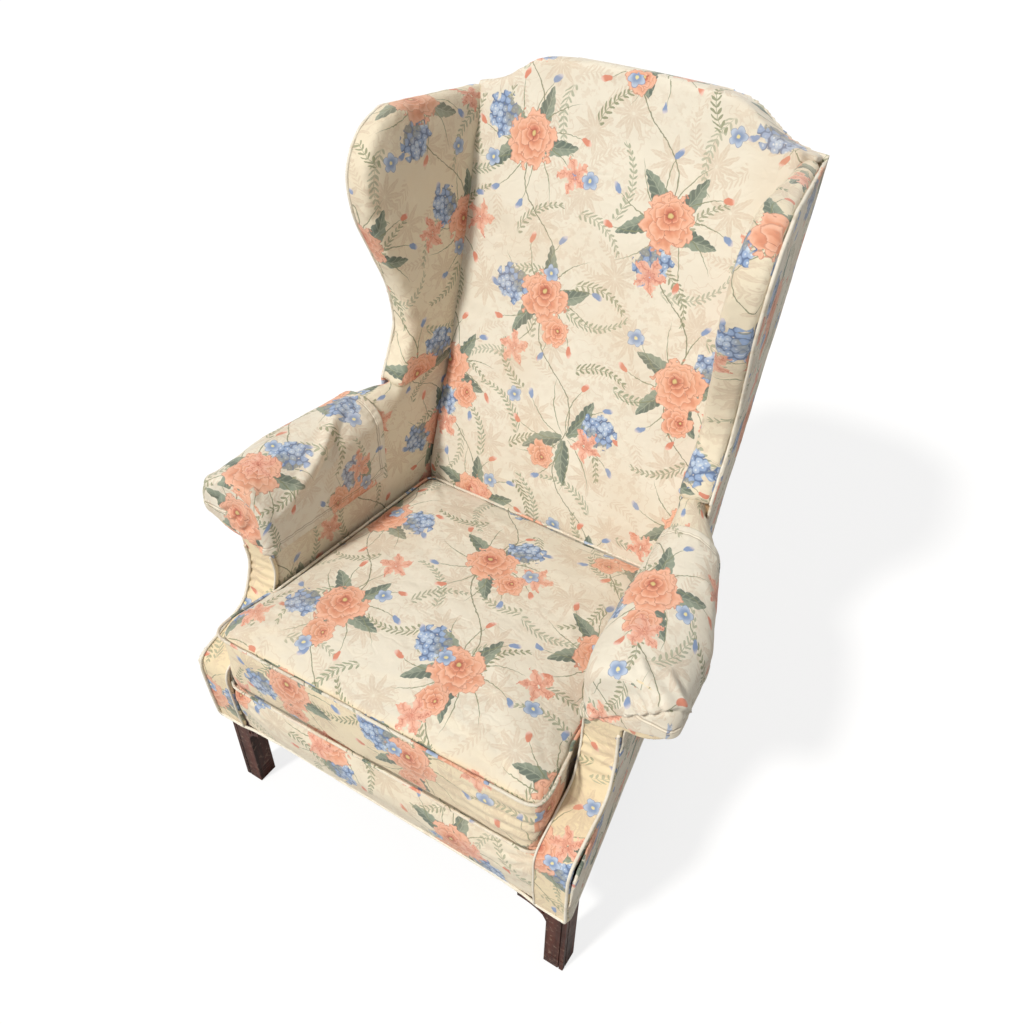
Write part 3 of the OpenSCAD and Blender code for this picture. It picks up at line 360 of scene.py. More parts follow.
def bouquets(k, colour, x, y, ruffle):
    """Flowers, buds and leaves on a half-drop lattice, joined by winding vines."""
    c, s = math.cos(LATTICE_TURN), math.sin(LATTICE_TURN)
    gx, gy = x * c + y * s, y * c - x * s
    col = (gx / COLUMN + 0.5).floor()
    half = (col * 0.5).fract() * 2.0
    gy = gy + half * (RISE * 0.5) + (col * 0.37).fract() * 0.05
    row_at = (gy / RISE + 0.5).floor()
    bx, by = gx - col * COLUMN, gy - row_at * RISE
    chance = k.make("ShaderNodeTexWhiteNoise", noise_dimensions="2D")
    k.links.new(k.point(col, row_at), chance.inputs[0])
    q1, q2, q3 = k.colour_parts(chance.outputs["Color"])
    bx, by = k.spun(bx + (q2 - 0.5) * 0.02, by + (q3 - 0.5) * 0.02, (q1 - 0.5) * 1.6)
    vine_x = gx - col * COLUMN - (gy * (2 * math.pi / RISE)).sin() * 0.022
    colour = k.dye(colour, VINE_GREEN, k.step(vine_x.abs(), 0.0013, 0.0006) * 0.85)
    # leaves behind the flowers
    share, vein, which, side = leaf_fan(k, bx, by, 0.083, 5.0, q2 * FULL_TURN + 0.4, 0.0125, 3.0)
    green = k.dye(LEAF_DARK, LEAF_LIGHT, k.step(side, -0.004, 0.006))
    green = k.dye(green, LEAF_VEIN, vein * 0.7)
    colour = k.dye(colour, green, share * (which * 0.618 + q3).fract().over(0.28) * 0.95)
    colour = buds(k, colour, bx, by, q1, q2)
    colour = blue_cluster(k, colour, bx, by, q3)
    # a large ruffled flower, and a smaller one beside it
    colour = bloom(k, colour, bx, by, 0.041, q1 * FULL_TURN, ruffle, q3.over(0.12))
    sx, sy = k.spun(bx, by, q2 * 2.0 + 3.6)
    return bloom(k, colour, sx - 0.056, sy, 0.024, q3 * FULL_TURN, ruffle, q1.over(0.3))


def lilies(k, colour, x, y, ruffle, waver):
    """Smaller open flowers of narrow petals."""
    lx, ly, spin, _ = k.scatter(x, y, 0.205, 0.75, 0.4, 23.0)
    share, vein, _, side = leaf_fan(k, lx + ruffle * 0.010, ly + (waver - 0.5) * 0.012, 0.029, 5.0,
                                    spin * FULL_TURN, 0.0082, 14.0)
    tone = k.dye(LILY_BODY, LILY_VEIN, vein * 0.8)
    tone = k.dye(tone, LILY_RIM, k.step(side.abs(), 0.003, 0.006) * 0.5)
    return k.dye(colour, tone, share * 0.95)


def small_blue_flowers(k, colour, x, y):
    lx, ly, spin, chance = k.scatter(x, y, 0.165, 1.35, 0.45, 31.0)
    r = (lx * lx + ly * ly).root()
    a = lx.turned(ly) + spin * FULL_TURN
    rim = (a * 2.5).cos().abs() * 0.0045 + 0.0095
    tone = k.dye(BLUE_BODY, BLUE_RIM, k.step(r, 0.004, 0.012))
    tone = k.dye(tone, BLUE_EYE, k.step(r, 0.0032, 0.002))
    tone = k.dye(tone, BLUE_LINE, k.step((r - rim).abs(), 0.0012, 0.0003) * 0.8)
    return k.dye(colour, tone, k.step(r - rim, 0.0005, -0.0005) * chance.over(0.25))


def chintz_colour(k, uv):
    """The whole print, in metres of cloth."""
    x, y, _ = k.split(uv)
    waver = k.noise(uv, 160.0, 1.0)
    x = x + (k.noise(uv, 55.0, 2.0) - 0.5) * 0.006
    y = y + (waver - 0.5) * 0.003
    place = k.point(x, y)
    ruffle = k.noise(place, 95.0, 1.0) - 0.5
    colour = pale_ground(k, x, y, place)
    colour = olive_sprigs(k, colour, x, y)
    colour = bouquets(k, colour, x, y, ruffle)
    colour = lilies(k, colour, x, y, ruffle, waver)
    return small_blue_flowers(k, colour, x, y)


# ---------------------------------------------------------------- finishes
def blank_finish(name):
    material = bpy.data.materials.new(name)
    material.use_nodes = True
    material.node_tree.nodes.clear()
    return material, Cloth(material.node_tree)


def finish_named(name):
    material, cloth = blank_finish(name)
    shader = cloth.make("ShaderNodeBsdfPrincipled")
    out = cloth.make("ShaderNodeOutputMaterial")
    cloth.links.new(shader.outputs[0], out.inputs[0])
    return material, cloth, shader


def coloured(cloth, shader, colour, roughness):
    cloth.links.new(colour, shader.inputs["Base Color"])
    cloth.feed(shader.inputs["Roughness"], roughness)


def bumped(cloth, shader, height, distance, strength=1.0):
    bump = cloth.make("ShaderNodeBump")
    bump.inputs["Distance"].default_value = distance
    bump.inputs["Strength"].default_value = strength
    cloth.links.new(height.socket, bump.inputs["Height"])
    cloth.links.new(bump.outputs[0], shader.inputs["Normal"])


def place_of(cloth, stretch=(1, 1, 1)):
    """The place on the object, in metres, times the stretch along each axis."""
    coords = cloth.make("ShaderNodeTexCoord")
    if stretch == (1, 1, 1):
        return coords.outputs["Object"]
    mapping = cloth.make("ShaderNodeMapping")
    mapping.inputs["Scale"].default_value = stretch
    cloth.links.new(coords.outputs["Object"], mapping.inputs[0])
    return mapping.outputs[0]


def printed_chintz():
    material, k, shader = finish_named("printed_chintz")
    uv = k.make("ShaderNodeUVMap", uv_map="cloth").outputs[0]
    place = place_of(k)
    colour = chintz_colour(k, uv)
    # handling stains and sun fading, soft and large
    stain = k.step(k.noise(place, 6.0, 3.0, dims="3D"), 0.50, 0.70)
    colour = k.dye(colour, (0.66, 0.51, 0.34), stain * 0.20)
    # two rows of stitches along a hem, their dark colour partly thread and partly painted shade in the sunk
    # seam
    hem = Knot(k, k.make("ShaderNodeAttribute", attribute_name="hem").outputs["Fac"])
    upper_row, lower_row = (hem - 0.0135).abs(), (hem - 0.0105).abs()
    stitches_and_shade = k.step(upper_row, 0.0011, 0.0004).most(k.step(lower_row, 0.0009, 0.0003) * 0.7)
    colour = k.dye(colour, (0.33, 0.25, 0.17), stitches_and_shade * 0.6)
    coloured(k, shader, colour, 0.55)
    shader.inputs["Specular IOR Level"].default_value = 0.32
    shader.inputs["Sheen Weight"].default_value = 0.12
    shader.inputs["Sheen Roughness"].default_value = 0.5
    # plain weave, with soft creases of the cloth over its padding
    u, v, _ = k.split(uv)
    weave = (u * 5200.0).sin() * (v * 5200.0).sin() * 0.06
    soft = k.noise(place, 24.0, 3.0, 0.55, dims="3D") * 0.9 + k.noise(place, 90.0, 2.0, dims="3D") * 0.2
    drawn = k.noise(place_of(k, (9.0, 14.0, 10.0)), 1.0, 3.0, 0.6, dims="3D")
    crease = k.step((drawn - 0.5).abs(), 0.04, 0.0) * 0.14 + k.step((drawn - 0.58).abs(), 0.02, 0.0) * 0.09
    bumped(k, shader, soft + weave - crease, 0.0042, 0.62)
    return material


def piping_cloth():
    material, k, shader = finish_named("cream_piping")
    place = place_of(k)
    tone = k.noise(place, 60.0, 3.0, dims="3D")
    colour = k.dye((0.86, 0.81, 0.70), (0.70, 0.61, 0.47), k.step(tone, 0.48, 0.78))
    coloured(k, shader, colour, 0.7)
    x, y, z = k.split(place)
    twill = ((x + y + z) * 2600.0).sin() * 0.5 + k.noise(place, 900.0, 2.0, dims="3D")
    bumped(k, shader, twill, 0.0005, 0.8)
    return material


def dark_mahogany():
    material, k, shader = finish_named("dark_mahogany")
    place = place_of(k)
    long_grain = k.noise(place_of(k, (90.0, 90.0, 5.0)), 1.0, 6.0, 0.6, dims="3D")
    pores = k.noise(place_of(k, (900.0, 900.0, 40.0)), 1.0, 2.0, dims="3D")
    colour = k.dye((0.024, 0.008, 0.006), (0.100, 0.030, 0.020), k.step(long_grain, 0.3, 0.72))
    colour = k.dye(colour, (0.012, 0.008, 0.007), k.step(pores, 0.6, 0.75) * 0.7)
    geometry = k.make("ShaderNodeNewGeometry")
    worn = k.step(Knot(k, geometry.outputs["Pointiness"]), 0.53, 0.60)
    scuff = k.step(k.noise(place, 120.0, 5.0, dims="3D"), 0.55, 0.70)
    _, _, z = k.split(place)
    low = k.step(z, 0.03, 0.0) * k.step(k.noise(place, 150.0, 4.0, dims="3D"), 0.58, 0.66)
    colour = k.dye(colour, (0.24, 0.15, 0.11), (worn * scuff * 0.7).most(low * 0.55))
    dusty = k.step(k.noise(place, 18.0, 4.0, dims="3D"), 0.45, 0.75)
    colour = k.dye(colour, (0.10, 0.07, 0.058), dusty * 0.05)
    coloured(k, shader, colour, dusty * 0.25 + 0.34)
    shader.inputs["Specular IOR Level"].default_value = 0.22
    # worn beads cut round the foot
    bead = k.step(((z - 0.018) * 430.0).sin().abs(), 0.0, 0.6) * k.step((z - 0.018).abs(), 0.013, 0.010)
    bumped(k, shader, long_grain * 0.5 + pores * 0.35 + scuff * 0.4 + bead * 1.6, 0.0009, 0.8)
    return material


def pale_beech():
    material, k, shader = finish_named("pale_beech")
    grain = k.noise(place_of(k, (60.0, 8.0, 60.0)), 1.0, 5.0, 0.6, dims="3D")
    flecks = k.noise(place_of(k, (400.0, 60.0, 400.0)), 1.0, 2.0, dims="3D")
    colour = k.dye((0.50, 0.33, 0.19), (0.68, 0.50, 0.32), k.step(grain, 0.3, 0.7))
    colour = k.dye(colour, (0.36, 0.22, 0.12), k.step(flecks, 0.62, 0.75) * 0.6)
    coloured(k, shader, colour, 0.65)
    bumped(k, shader, grain + flecks * 0.4, 0.0005)
    return material


def woven(name, dark, light, pitch, coarse):
    """A plain weave of coarse yarn, on object coordinates."""
    material, k, shader = finish_named(name)
    place = place_of(k)
    x, y, z = k.split(place)
    across = (x * (math.pi / pitch)).sin()
    along = ((y + z * 0.97) * (math.pi / pitch)).sin()
    over = k.step(across * along, -0.12, 0.12)
    yarn = across.abs() * over + along.abs() * (1.0 - over)
    wild = k.noise(place, coarse, 4.0, dims="3D")
    colour = k.dye(dark, light, k.step(yarn * 0.7 + wild * 0.5, 0.25, 0.9))
    coloured(k, shader, colour, 0.85)
    bumped(k, shader, yarn + wild * 0.4, pitch * 0.3)
    return material


def spring_wire(name, tint, rough):
    material, k, shader = finish_named(name)
    place = place_of(k)
    tarnish = k.noise(place, 90.0, 5.0, dims="3D")
    colour = k.dye(tint, (0.20, 0.13, 0.09), k.step(tarnish, 0.55, 0.75) * 0.6)
    coloured(k, shader, colour, tarnish * 0.3 + rough)
    shader.inputs["Metallic"].default_value = 0.9
    bumped(k, shader, tarnish, 0.0003)
    return material


def cotton_felt():
    material, k, shader = finish_named("cotton_felt")
    place = place_of(k)
    fluff = k.noise(place, 130.0, 6.0, 0.65, dims="3D")
    colour = k.dye((0.72, 0.68, 0.60), (0.86, 0.84, 0.78), k.step(fluff, 0.3, 0.7))
    coloured(k, shader, colour, 0.95)
    bumped(k, shader, fluff, 0.0025)
    return material


chintz = printed_chintz()
piping = piping_cloth()
mahogany = dark_mahogany()
beech = pale_beech()
jute_web = woven("jute_webbing", (0.20, 0.13, 0.07), (0.55, 0.41, 0.25), 0.0022, 300.0)
hessian = woven("hessian_cloth", (0.22, 0.15, 0.08), (0.50, 0.38, 0.23), 0.0015, 420.0)
cambric = woven("black_cambric", (0.012, 0.012, 0.014), (0.05, 0.05, 0.055), 0.0009, 700.0)
steel = spring_wire("spring_steel_wire", (0.42, 0.42, 0.43), 0.30)
screw_steel = spring_wire("screw_steel", (0.60, 0.58, 0.52), 0.22)
felt = cotton_felt()

for node_name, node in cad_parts.items():
    if node_name.endswith(("front_leg", "rear_leg", "bracket")):
        coat = mahogany
    elif node_name.endswith("webbing"):
        coat = jute_web
    elif node_name.endswith("hessian"):
        coat = hessian
    elif node_name == "dust_cover":
        coat = cambric
    elif node_name == "seat_springs":
        coat = steel
    elif node_name == "corner_block_screws":
        coat = screw_steel
    elif node_name in ("cushion_core", "deck_pad"):
        coat = felt
    elif any(word in node_name for word in ("rail", "post", "stump", "blocks")):
        coat = beech
    else:
        coat = chintz
    node.data.materials.clear()
    node.data.materials.append(coat)


# ---------------------------------------------------------------- the chair's own planes, in millimetres
# y runs from the chair's front to its back, z up from the ground
MID_Y = 385.0  # the shared frame's middle
SEAT_FRONT_W, SIDE_Y, RAIL_Z = 689.0, 20.0, 190.0  # the outer sides' width and start, and the rails' low edge
YAW, LEAN = math.radians(9.0), math.radians(3.5)  # the outer sides close in to the back and lean out
INNER_HALF, INNER_YAW = 288.0, math.radians(4.5)  # the inside arms, at SIDE_Y, and how they close in
BACK_LEAN = math.radians(18.0)
# the rolled arm's top, half width, half height and front
ARM_TOP, ROLL_W, ROLL_H, SCROLL_Y = 615.0, 64.0, 55.0, 136.0
ROLL_Y = SCROLL_Y + 7.4  # where the roll starts, behind its front
WING_Y, WING_Z, WING_RISE = 456.0, 645.0, 421.0  # the wing's foot and its height
CUSHION_LOW, CUSHION_TOP = 310.0, 432.0
WELT = 3.0  # a welt's radius, with its cloth
FOOT_Y = 13.2  # the bottom piping's middle, under the arm fronts


def side_u(y, z):
    """How far back along the outer side the point at y and z lies."""
    v = (z - RAIL_Z) / math.cos(LEAN)
    return (y - SIDE_Y - v * math.sin(YAW) * math.sin(LEAN)) / math.cos(YAW)


def outer_x(y, z):
    """The outer side's distance from the chair's middle plane."""
    v = (z - RAIL_Z) / math.cos(LEAN)
    return SEAT_FRONT_W / 2 - side_u(y, z) * math.sin(YAW) + v * math.cos(YAW) * math.sin(LEAN)


def inner_x(y):
    """The inside arm's distance from the chair's middle plane."""
    return INNER_HALF - (y - SIDE_Y) * math.tan(INNER_YAW)


def on_side(inset, y, z):
    """A point of the outer side, inset towards the middle."""
    u, v = side_u(y, z), (z - RAIL_Z) / math.cos(LEAN)
    x1, z1 = inset * math.cos(LEAN) + v * math.sin(LEAN), v * math.cos(LEAN) - inset * math.sin(LEAN)
    return (SEAT_FRONT_W / 2 + x1 * math.cos(YAW) - u * math.sin(YAW),
            SIDE_Y + x1 * math.sin(YAW) + u * math.cos(YAW), RAIL_Z + z1)


def smooth_line(points, n):
    """A smooth curve through points, with n steps between each two."""
    pts = [np.array(p, float) for p in points]
    out = []
    for i in range(len(pts) - 1):
        a, b, c, d = pts[max(i - 1, 0)], pts[i], pts[i + 1], pts[min(i + 2, len(pts) - 1)]
        for s in range(n):
            t = s / n
            out.append(0.5 * (2 * b + (c - a) * t + (2 * a - 5 * b + 4 * c - d) * t * t
                              + (3 * b - a - 3 * c + d) * t ** 3))
    return [*out, pts[-1]]


def pushed_out(line, d):
    """A flat line [y, z] moved sideways by d."""
    out = []
    for i, p in enumerate(line):
        a = line[min(i + 1, len(line) - 1)] - line[max(i - 1, 0)]
        a = a / np.linalg.norm(a)
        out.append(p + d * np.array((a[1], -a[0])))
    return out


def row(point, side=1):
    """Millimetres from the chair's front to metres in the shared frame."""
    return Vector((side * point[0] / 1000, (point[1] - MID_Y) / 1000, point[2] / 1000))


# the sweeping front edge of the arm fronts and the wings' front edge, as y and z
front_edge = smooth_line([(13, 190), (9, 240), (7, 290), (7, 324), (20, 344), (64, 361), (109, 381),
                          (130, 420), (139, 460), (136, 499), (136, 517)], 6)
wing_front = smooth_line([(WING_Y + dy, WING_Z + f * WING_RISE) for dy, f in (
    (0, 0), (33, 0.16), (41, 0.24), (35, 0.37), (15, 0.51), (-7, 0.66), (-10, 0.79), (3, 0.88), (29, 0.955),
    (68, 1))], 6)


# ---------------------------------------------------------------- making
CLOTH_FRAMES = 20


def only(piece):
    bpy.ops.object.select_all(action="DESELECT")
    piece.select_set(True)
    bpy.context.view_layer.objects.active = piece


def applied(piece, kind, **settings):
    only(piece)
    modifier = piece.modifiers.new(kind.lower(), kind)
    for name, value in settings.items():
        setattr(modifier, name, value)
    bpy.ops.object.modifier_apply(modifier=modifier.name)


def copied(name, *nodes):
    """A closed mesh of one or more CAD solids, as a piece of its own."""
    mesh = bpy.data.meshes.new(name)
    work = bmesh.new()
    for n in nodes:
        work.from_mesh(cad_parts[n].data)
    bmesh.ops.remove_doubles(work, verts=work.verts, dist=1e-5)
    work.to_mesh(mesh)
    work.free()
    piece = bpy.data.objects.new(name, mesh)
    scene.collection.objects.link(piece)
    return piece


def points_of(piece):
    co = np.empty(len(piece.data.vertices) * 3)
    piece.data.vertices.foreach_get("co", co)
    return co.reshape(-1, 3)


def normals_of(piece):
    no = np.empty(len(piece.data.vertices) * 3)
    piece.data.vertices.foreach_get("normal", no)
    return no.reshape(-1, 3)


def set_points(piece, co):
    piece.data.vertices.foreach_set("co", np.ascontiguousarray(co, float).ravel())
    piece.data.update()


def rounded(piece, voxel, passes):
    applied(piece, "REMESH", mode="VOXEL", voxel_size=voxel)
    applied(piece, "SMOOTH", iterations=passes, factor=0.5)


def puffed(piece, held, cap, pressure):
    """Swells a pad by cloth simulation, by cap metres at most.

    held gives 0, free, to 1, fixed, for each point, from its place and normal.
    """
    before = points_of(piece)
    weights = held(before, normals_of(piece))
    pins = piece.vertex_groups.new(name="held")
    for level in (0.25, 0.5, 0.75, 1.0):
        chosen = np.nonzero((weights > level - 0.25) & (weights <= level))[0]
        pins.add([int(i) for i in chosen], level, "REPLACE")
    cloth = piece.modifiers.new("cloth", "CLOTH")
    cloth.settings.use_pressure = True
    cloth.settings.uniform_pressure_force = pressure
    cloth.settings.tension_stiffness = 15.0
    cloth.settings.compression_stiffness = 15.0
    cloth.settings.bending_stiffness = 0.5
    cloth.settings.mass = 0.3
    cloth.settings.quality = 4
    cloth.settings.vertex_group_mass = "held"
    cloth.settings.effector_weights.gravity = 0
    cloth.point_cache.frame_start, cloth.point_cache.frame_end = 1, CLOTH_FRAMES
    for f in range(1, CLOTH_FRAMES + 1):
        scene.frame_set(f)
    made = piece.evaluated_get(bpy.context.evaluated_depsgraph_get()).to_mesh()
    after = np.empty(len(made.vertices) * 3)
    made.vertices.foreach_get("co", after)
    after = after.reshape(-1, 3)
    piece.modifiers.remove(cloth)
    piece.vertex_groups.remove(pins)
    scene.frame_set(1)
    move = after - before
    far = np.linalg.norm(move, axis=1)
    set_points(piece, before + move * np.minimum(1.0, cap / np.maximum(far, 1e-9))[:, None])


def ripples(co, scale, seed):
    """Soft noise from -1 to 1 at each point."""
    shift = Vector((seed * 1.7, seed * 0.9, seed * 2.3))
    return np.array([noise.fractal(Vector(p) * scale + shift, 0.7, 2.0, 3) for p in co])


def moved(piece, amount):
    """Moves each point along its normal by amount(co, no), in metres."""
    co, no = points_of(piece), normals_of(piece)
    set_points(piece, co + no * amount(co, no)[:, None])


def cloth_map(piece, rule, soft=False):
    """The cloth's own measure on a piece: rule(co, no) gives u and v in metres for a face's corners."""
    mesh = piece.data
    layer = mesh.uv_layers.get("cloth") or mesh.uv_layers.new(name="cloth")
    co = points_of(piece)
    loops = np.empty(len(mesh.loops), np.int64)
    mesh.loops.foreach_get("vertex_index", loops)
    starts = np.empty(len(mesh.polygons), np.int64)
    totals = np.empty(len(mesh.polygons), np.int64)
    face_no = np.empty(len(mesh.polygons) * 3)
    mesh.polygons.foreach_get("loop_start", starts)
    mesh.polygons.foreach_get("loop_total", totals)
    mesh.polygons.foreach_get("normal", face_no)
    per_loop = np.repeat(np.arange(len(mesh.polygons)), totals)
    u, v = rule(co[loops], normals_of(piece)[loops] if soft else face_no.reshape(-1, 3)[per_loop])
    layer.data.foreach_set("uv", np.stack((u, v), 1).astype(np.float32).ravel())


def dressed(piece, body, coat, nodes, painted_sun_tint=0.0):
    """The last steps for a piece: finish, how much painted warm sunlight tints its cloth, body, and what it
    stands for.
    """
    piece.data.materials.clear()
    piece.data.materials.append(coat)
    if callable(painted_sun_tint):
        painted_sun_tint = painted_sun_tint(points_of(piece), normals_of(piece))
    # a share of painted warm sunlight for each point, read by the cloth as a warmer ground
    if np.any(painted_sun_tint):
        layer = piece.data.attributes.new("painted_sun_tint", "FLOAT", "POINT")
        layer.data.foreach_set("value", (np.zeros(len(piece.data.vertices)) + painted_sun_tint).astype(np.float32))
    piece.data.polygons.foreach_set("use_smooth", [True] * len(piece.data.polygons))
    piece.data.update()
    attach(piece, body)
    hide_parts(*nodes)
    return piece


def wander(at):
    """A smooth shift, up to about 1 each way, that is the same in every run."""
    return Vector([noise.noise(at * 22.0 + Vector((0.0, 0.0, 7.3 * axis))) for axis in range(3)])


def corded(name, lines, radius, body, nodes, closed=False, side=1, sag=0.0, coat=None, share=(1.0, 1.0)):
    """A piped edge: a round cord under cloth along each line of millimetre points.

    sag is how far it wanders, in metres, and share the thickness of each line.
    """
    curve = bpy.data.curves.new(name, "CURVE")
    curve.dimensions, curve.bevel_depth, curve.bevel_resolution = "3D", radius, 3
    curve.use_fill_caps = not closed
    for line, wide in zip(lines, share):
        spline = curve.splines.new("POLY")
        spline.points.add(len(line) - 1)
        for i, p in enumerate(line):
            at = row(p, side)
            spline.points[i].co = (*(at + wander(at) * sag), 1.0)
            spline.points[i].radius = wide + 0.06 * noise.noise(at * 70.0)
        spline.use_cyclic_u = closed
    piece = bpy.data.objects.new(name, curve)
    scene.collection.objects.link(piece)
    only(piece)
    bpy.ops.object.convert(target="MESH")
    piece = bpy.context.view_layer.objects.active
    if coat:
        cloth_map(piece, lambda co, no: (co[:, 0] + 0.11, co[:, 1] + 0.7 * co[:, 2]))
    return dressed(piece, body, coat or piping, nodes)


def spaced(line, step):
    """The same line with points a step apart."""
    pts = np.array(line, float)
    run = np.concatenate(([0], np.cumsum(np.linalg.norm(np.diff(pts, axis=0), axis=1))))
    at = np.linspace(0, run[-1], max(2, int(run[-1] / step) + 1))
    return np.stack([np.interp(at, run, pts[:, i]) for i in range(pts.shape[1])], 1)


# ---------------------------------------------------------------- seat cushion
def seat_side(y):
    return inner_x(y) - 1.5 * WELT - 0.8 - (0 if y < SCROLL_Y - 14 else 3.4)


def squared(dx, dy, corner=34.0, power=3.4):
    """Draws a rounded corner out towards its point. dx and dy are from the corner's middle."""
    far = np.maximum(np.hypot(dx, dy), 1e-6)
    c, s = np.abs(dx) / far, np.abs(dy) / far
    k = 1 + (np.maximum(c ** power + s ** power, 1e-6) ** (-1 / power) - 1) * np.minimum(far / corner, 1)
    return dx * k, dy * k


strip_y, strip_z = zip(*front_edge)


def askew(x, y, z):
    """The loose cushion's lie: its left front corner drawn forward and out over the arm's strip."""
    front = np.clip((210 - y) / 190, 0, 1)
    left = np.clip(0.5 - x / 560, 0, 1)
    y = y - 11.5 * front ** 2 * left
    near = np.clip((128 - y) / 70, 0, 1)
    end = np.clip((np.abs(x) - 150) / 130, 0, 1)
    x = x + near * end * np.where(x < 0, -9.0, 4.5)
    ahead = y < np.interp(z, strip_z, strip_y) - 1.0
    limit = np.where(ahead & (z > 300), 302.0, inner_x(y) - np.where(y > SCROLL_Y - 14, 4.2, 1.2))
    return np.clip(x, -limit, limit), np.minimum(y, 498.5)


def cushion_plan(grow=0.0):
    """The cushion's outline from above, anticlockwise from the front middle."""
    front, back, corner = 18.0, 500 - 1.5 * WELT - 0.8, 34.0
    wide = seat_side(front + corner)
    half = [(0.0, front)]
    for a in np.linspace(0, math.pi / 2, 13):
        dx, dy = squared(corner * math.sin(a), corner * math.cos(a))
        half.append((wide - corner + dx, front + corner - dy))
    half += [(seat_side(116), 116.0), (seat_side(130), 130.0)]
    half += [(seat_side(back) - 16 + 16 * math.cos(a), back - 16 + 16 * math.sin(a))
             for a in np.linspace(0, math.pi / 2, 6)]
    half.append((0.0, back))
    whole = half + [(-x, y) for x, y in reversed(half[1:-1])]
    mid = (front + back) / 2
    return spaced([(x * (1 + grow / wide), mid + (y - mid) * (1 + grow / (mid - front))) for x, y in whole]
                  + [whole[0]], 6.0)[:-1]


# drawn creases on the cushion's top, in metres: from, to, height in millimetres, and width
CUSHION_CREASES = (
    ((0.20, -0.30), (0.05, -0.12), 1.6, 0.010),
    ((0.24, -0.22), (0.12, 0.02), 1.5, 0.011),
    ((0.23, -0.12), (0.17, 0.06), 1.4, 0.009),
    ((-0.24, -0.24), (-0.12, -0.08), 1.2, 0.011),
    ((-0.10, 0.08), (0.06, 0.02), 1.2, 0.012),
    ((0.21, -0.33), (-0.02, -0.27), 1.2, 0.008),
)


def make_cushion():
    piece = copied("seat_cushion", "cushion_core")
    applied(piece, "REMESH", mode="VOXEL", voxel_size=0.006)
    co, no = points_of(piece), normals_of(piece)
    co = co + no * 0.0014
    x, y = np.abs(co[:, 0]) * 1000 - (seat_side(52) - 34), 52 - (co[:, 1] * 1000 + MID_Y)
    dx, dy = squared(np.maximum(x, 0), np.maximum(y, 0))
    near = (x > 0) & (y > 0)
    co[:, 0] += np.where(near, np.sign(co[:, 0]) * (dx - x) / 1000, 0)
    co[:, 1] -= np.where(near, (dy - y) / 1000, 0)
    set_points(piece, co)
    applied(piece, "SMOOTH", iterations=3, factor=0.5)
    top, low = (CUSHION_TOP - 1) / 1000, (CUSHION_LOW + WELT) / 1000

    def held(co, no):
        flat = np.hypot(no[:, 0], no[:, 1])
        seam = ((np.abs(co[:, 2] - top) < 0.006) | (np.abs(co[:, 2] - low) < 0.005)) & (flat > 0.35)
        under = no[:, 2] < -0.5
        return np.where(seam | under, 1.0, 0.0)

    puffed(piece, held, 0.016, pressure=3.0)
    co, no = points_of(piece), normals_of(piece)
    front = (co[:, 1] + MID_Y / 1000 < 0.05) & (no[:, 1] < -0.4)
    # the boxing wrinkles towards its right end, and sags a little everywhere
    share = np.clip((co[:, 0] - 0.08) / 0.14, 0, 1) * front
    level = np.clip((co[:, 2] - low) / (top - low), 0, 1)
    fold = np.sin(level * 2 * math.pi * 5.5 + 1.5 * ripples(co, 9.0, 3)) * np.sin(level * math.pi)
    pull = np.zeros(len(co))
    for (ax, ay), (bx, by), high, wide in CUSHION_CREASES:
        d = np.array((bx - ax, by - ay))
        t = np.clip(((co[:, 0] - ax) * d[0] + (co[:, 1] - ay) * d[1]) / (d @ d), 0, 1)
        gap = np.hypot(co[:, 0] - ax - t * d[0], co[:, 1] - ay - t * d[1] + 0.006 * np.sin(t * 5))
        pull += high * np.exp(-(gap / wide) ** 2) * np.sin(np.clip(t + 0.12, 0, 1) * 2.8)
    pull = pull * (no[:, 2] > 0.5) / 1000
    wave = ripples(co * np.array((1, 1, 1.6)), 9.0, 5)
    crease = ripples(co * np.array((1, 2.2, 1)), 26.0, 8)
    amount = share ** 1.5 * fold * 0.0034 + wave * 0.0024 + crease * 0.0009 + pull
    sides = np.abs(no[:, 0]) > 0.6
    amount = np.where(sides & (co[:, 1] > -0.25), np.minimum(amount, -0.0002), amount)
    amount = np.where(no[:, 2] < -0.5, 0, amount)
    co = co + no * amount[:, None]
    x, y = askew(co[:, 0] * 1000, co[:, 1] * 1000 + MID_Y, co[:, 2] * 1000)
    co[:, 0], co[:, 1] = x / 1000, (y - MID_Y) / 1000
    co[:, 2] = np.maximum(co[:, 2], CUSHION_LOW / 1000 + 0.0001)
    set_points(piece, co)
    applied(piece, "SUBSURF", levels=1, render_levels=1)

    def rule(co, no):
        up = np.abs(no[:, 2]) > 0.62
        face = (~up) & (np.abs(no[:, 1]) > np.abs(no[:, 0]))
        u = np.where(up, co[:, 0], np.where(face, co[:, 0], co[:, 1] * np.sign(no[:, 0]) + 0.41))
        v = np.where(up, co[:, 1] + 0.037, co[:, 2] - 0.60)
        return u, v

    cloth_map(piece, rule)
    # the faces towards the front and the light get a painted warm sunlit tint
    dressed(piece, "seat_cushion", chintz, ("cushion_cover",),
            painted_sun_tint=lambda co, no: 0.75 * np.clip(-no[:, 1] * 1.5 - 0.3, 0, 1))
    loops = []
    for z in (CUSHION_LOW + WELT, CUSHION_TOP - 1):
        xs, ys = (np.array(q) for q in zip(*cushion_plan(1.2)))
        xs, ys = askew(xs, ys, z + 0 * xs)
        loops.append([(x, y, z) for x, y in zip(xs, ys)])
    corded("seat_cushion_welts", loops, 0.0025, "seat_cushion", ("cushion_welts",), closed=True, sag=0.0007,
           coat=chintz)


# ---------------------------------------------------------------- back and wings
def up_the_back(co):
    return co[:, 1] * math.sin(BACK_LEAN) + co[:, 2] * math.cos(BACK_LEAN)


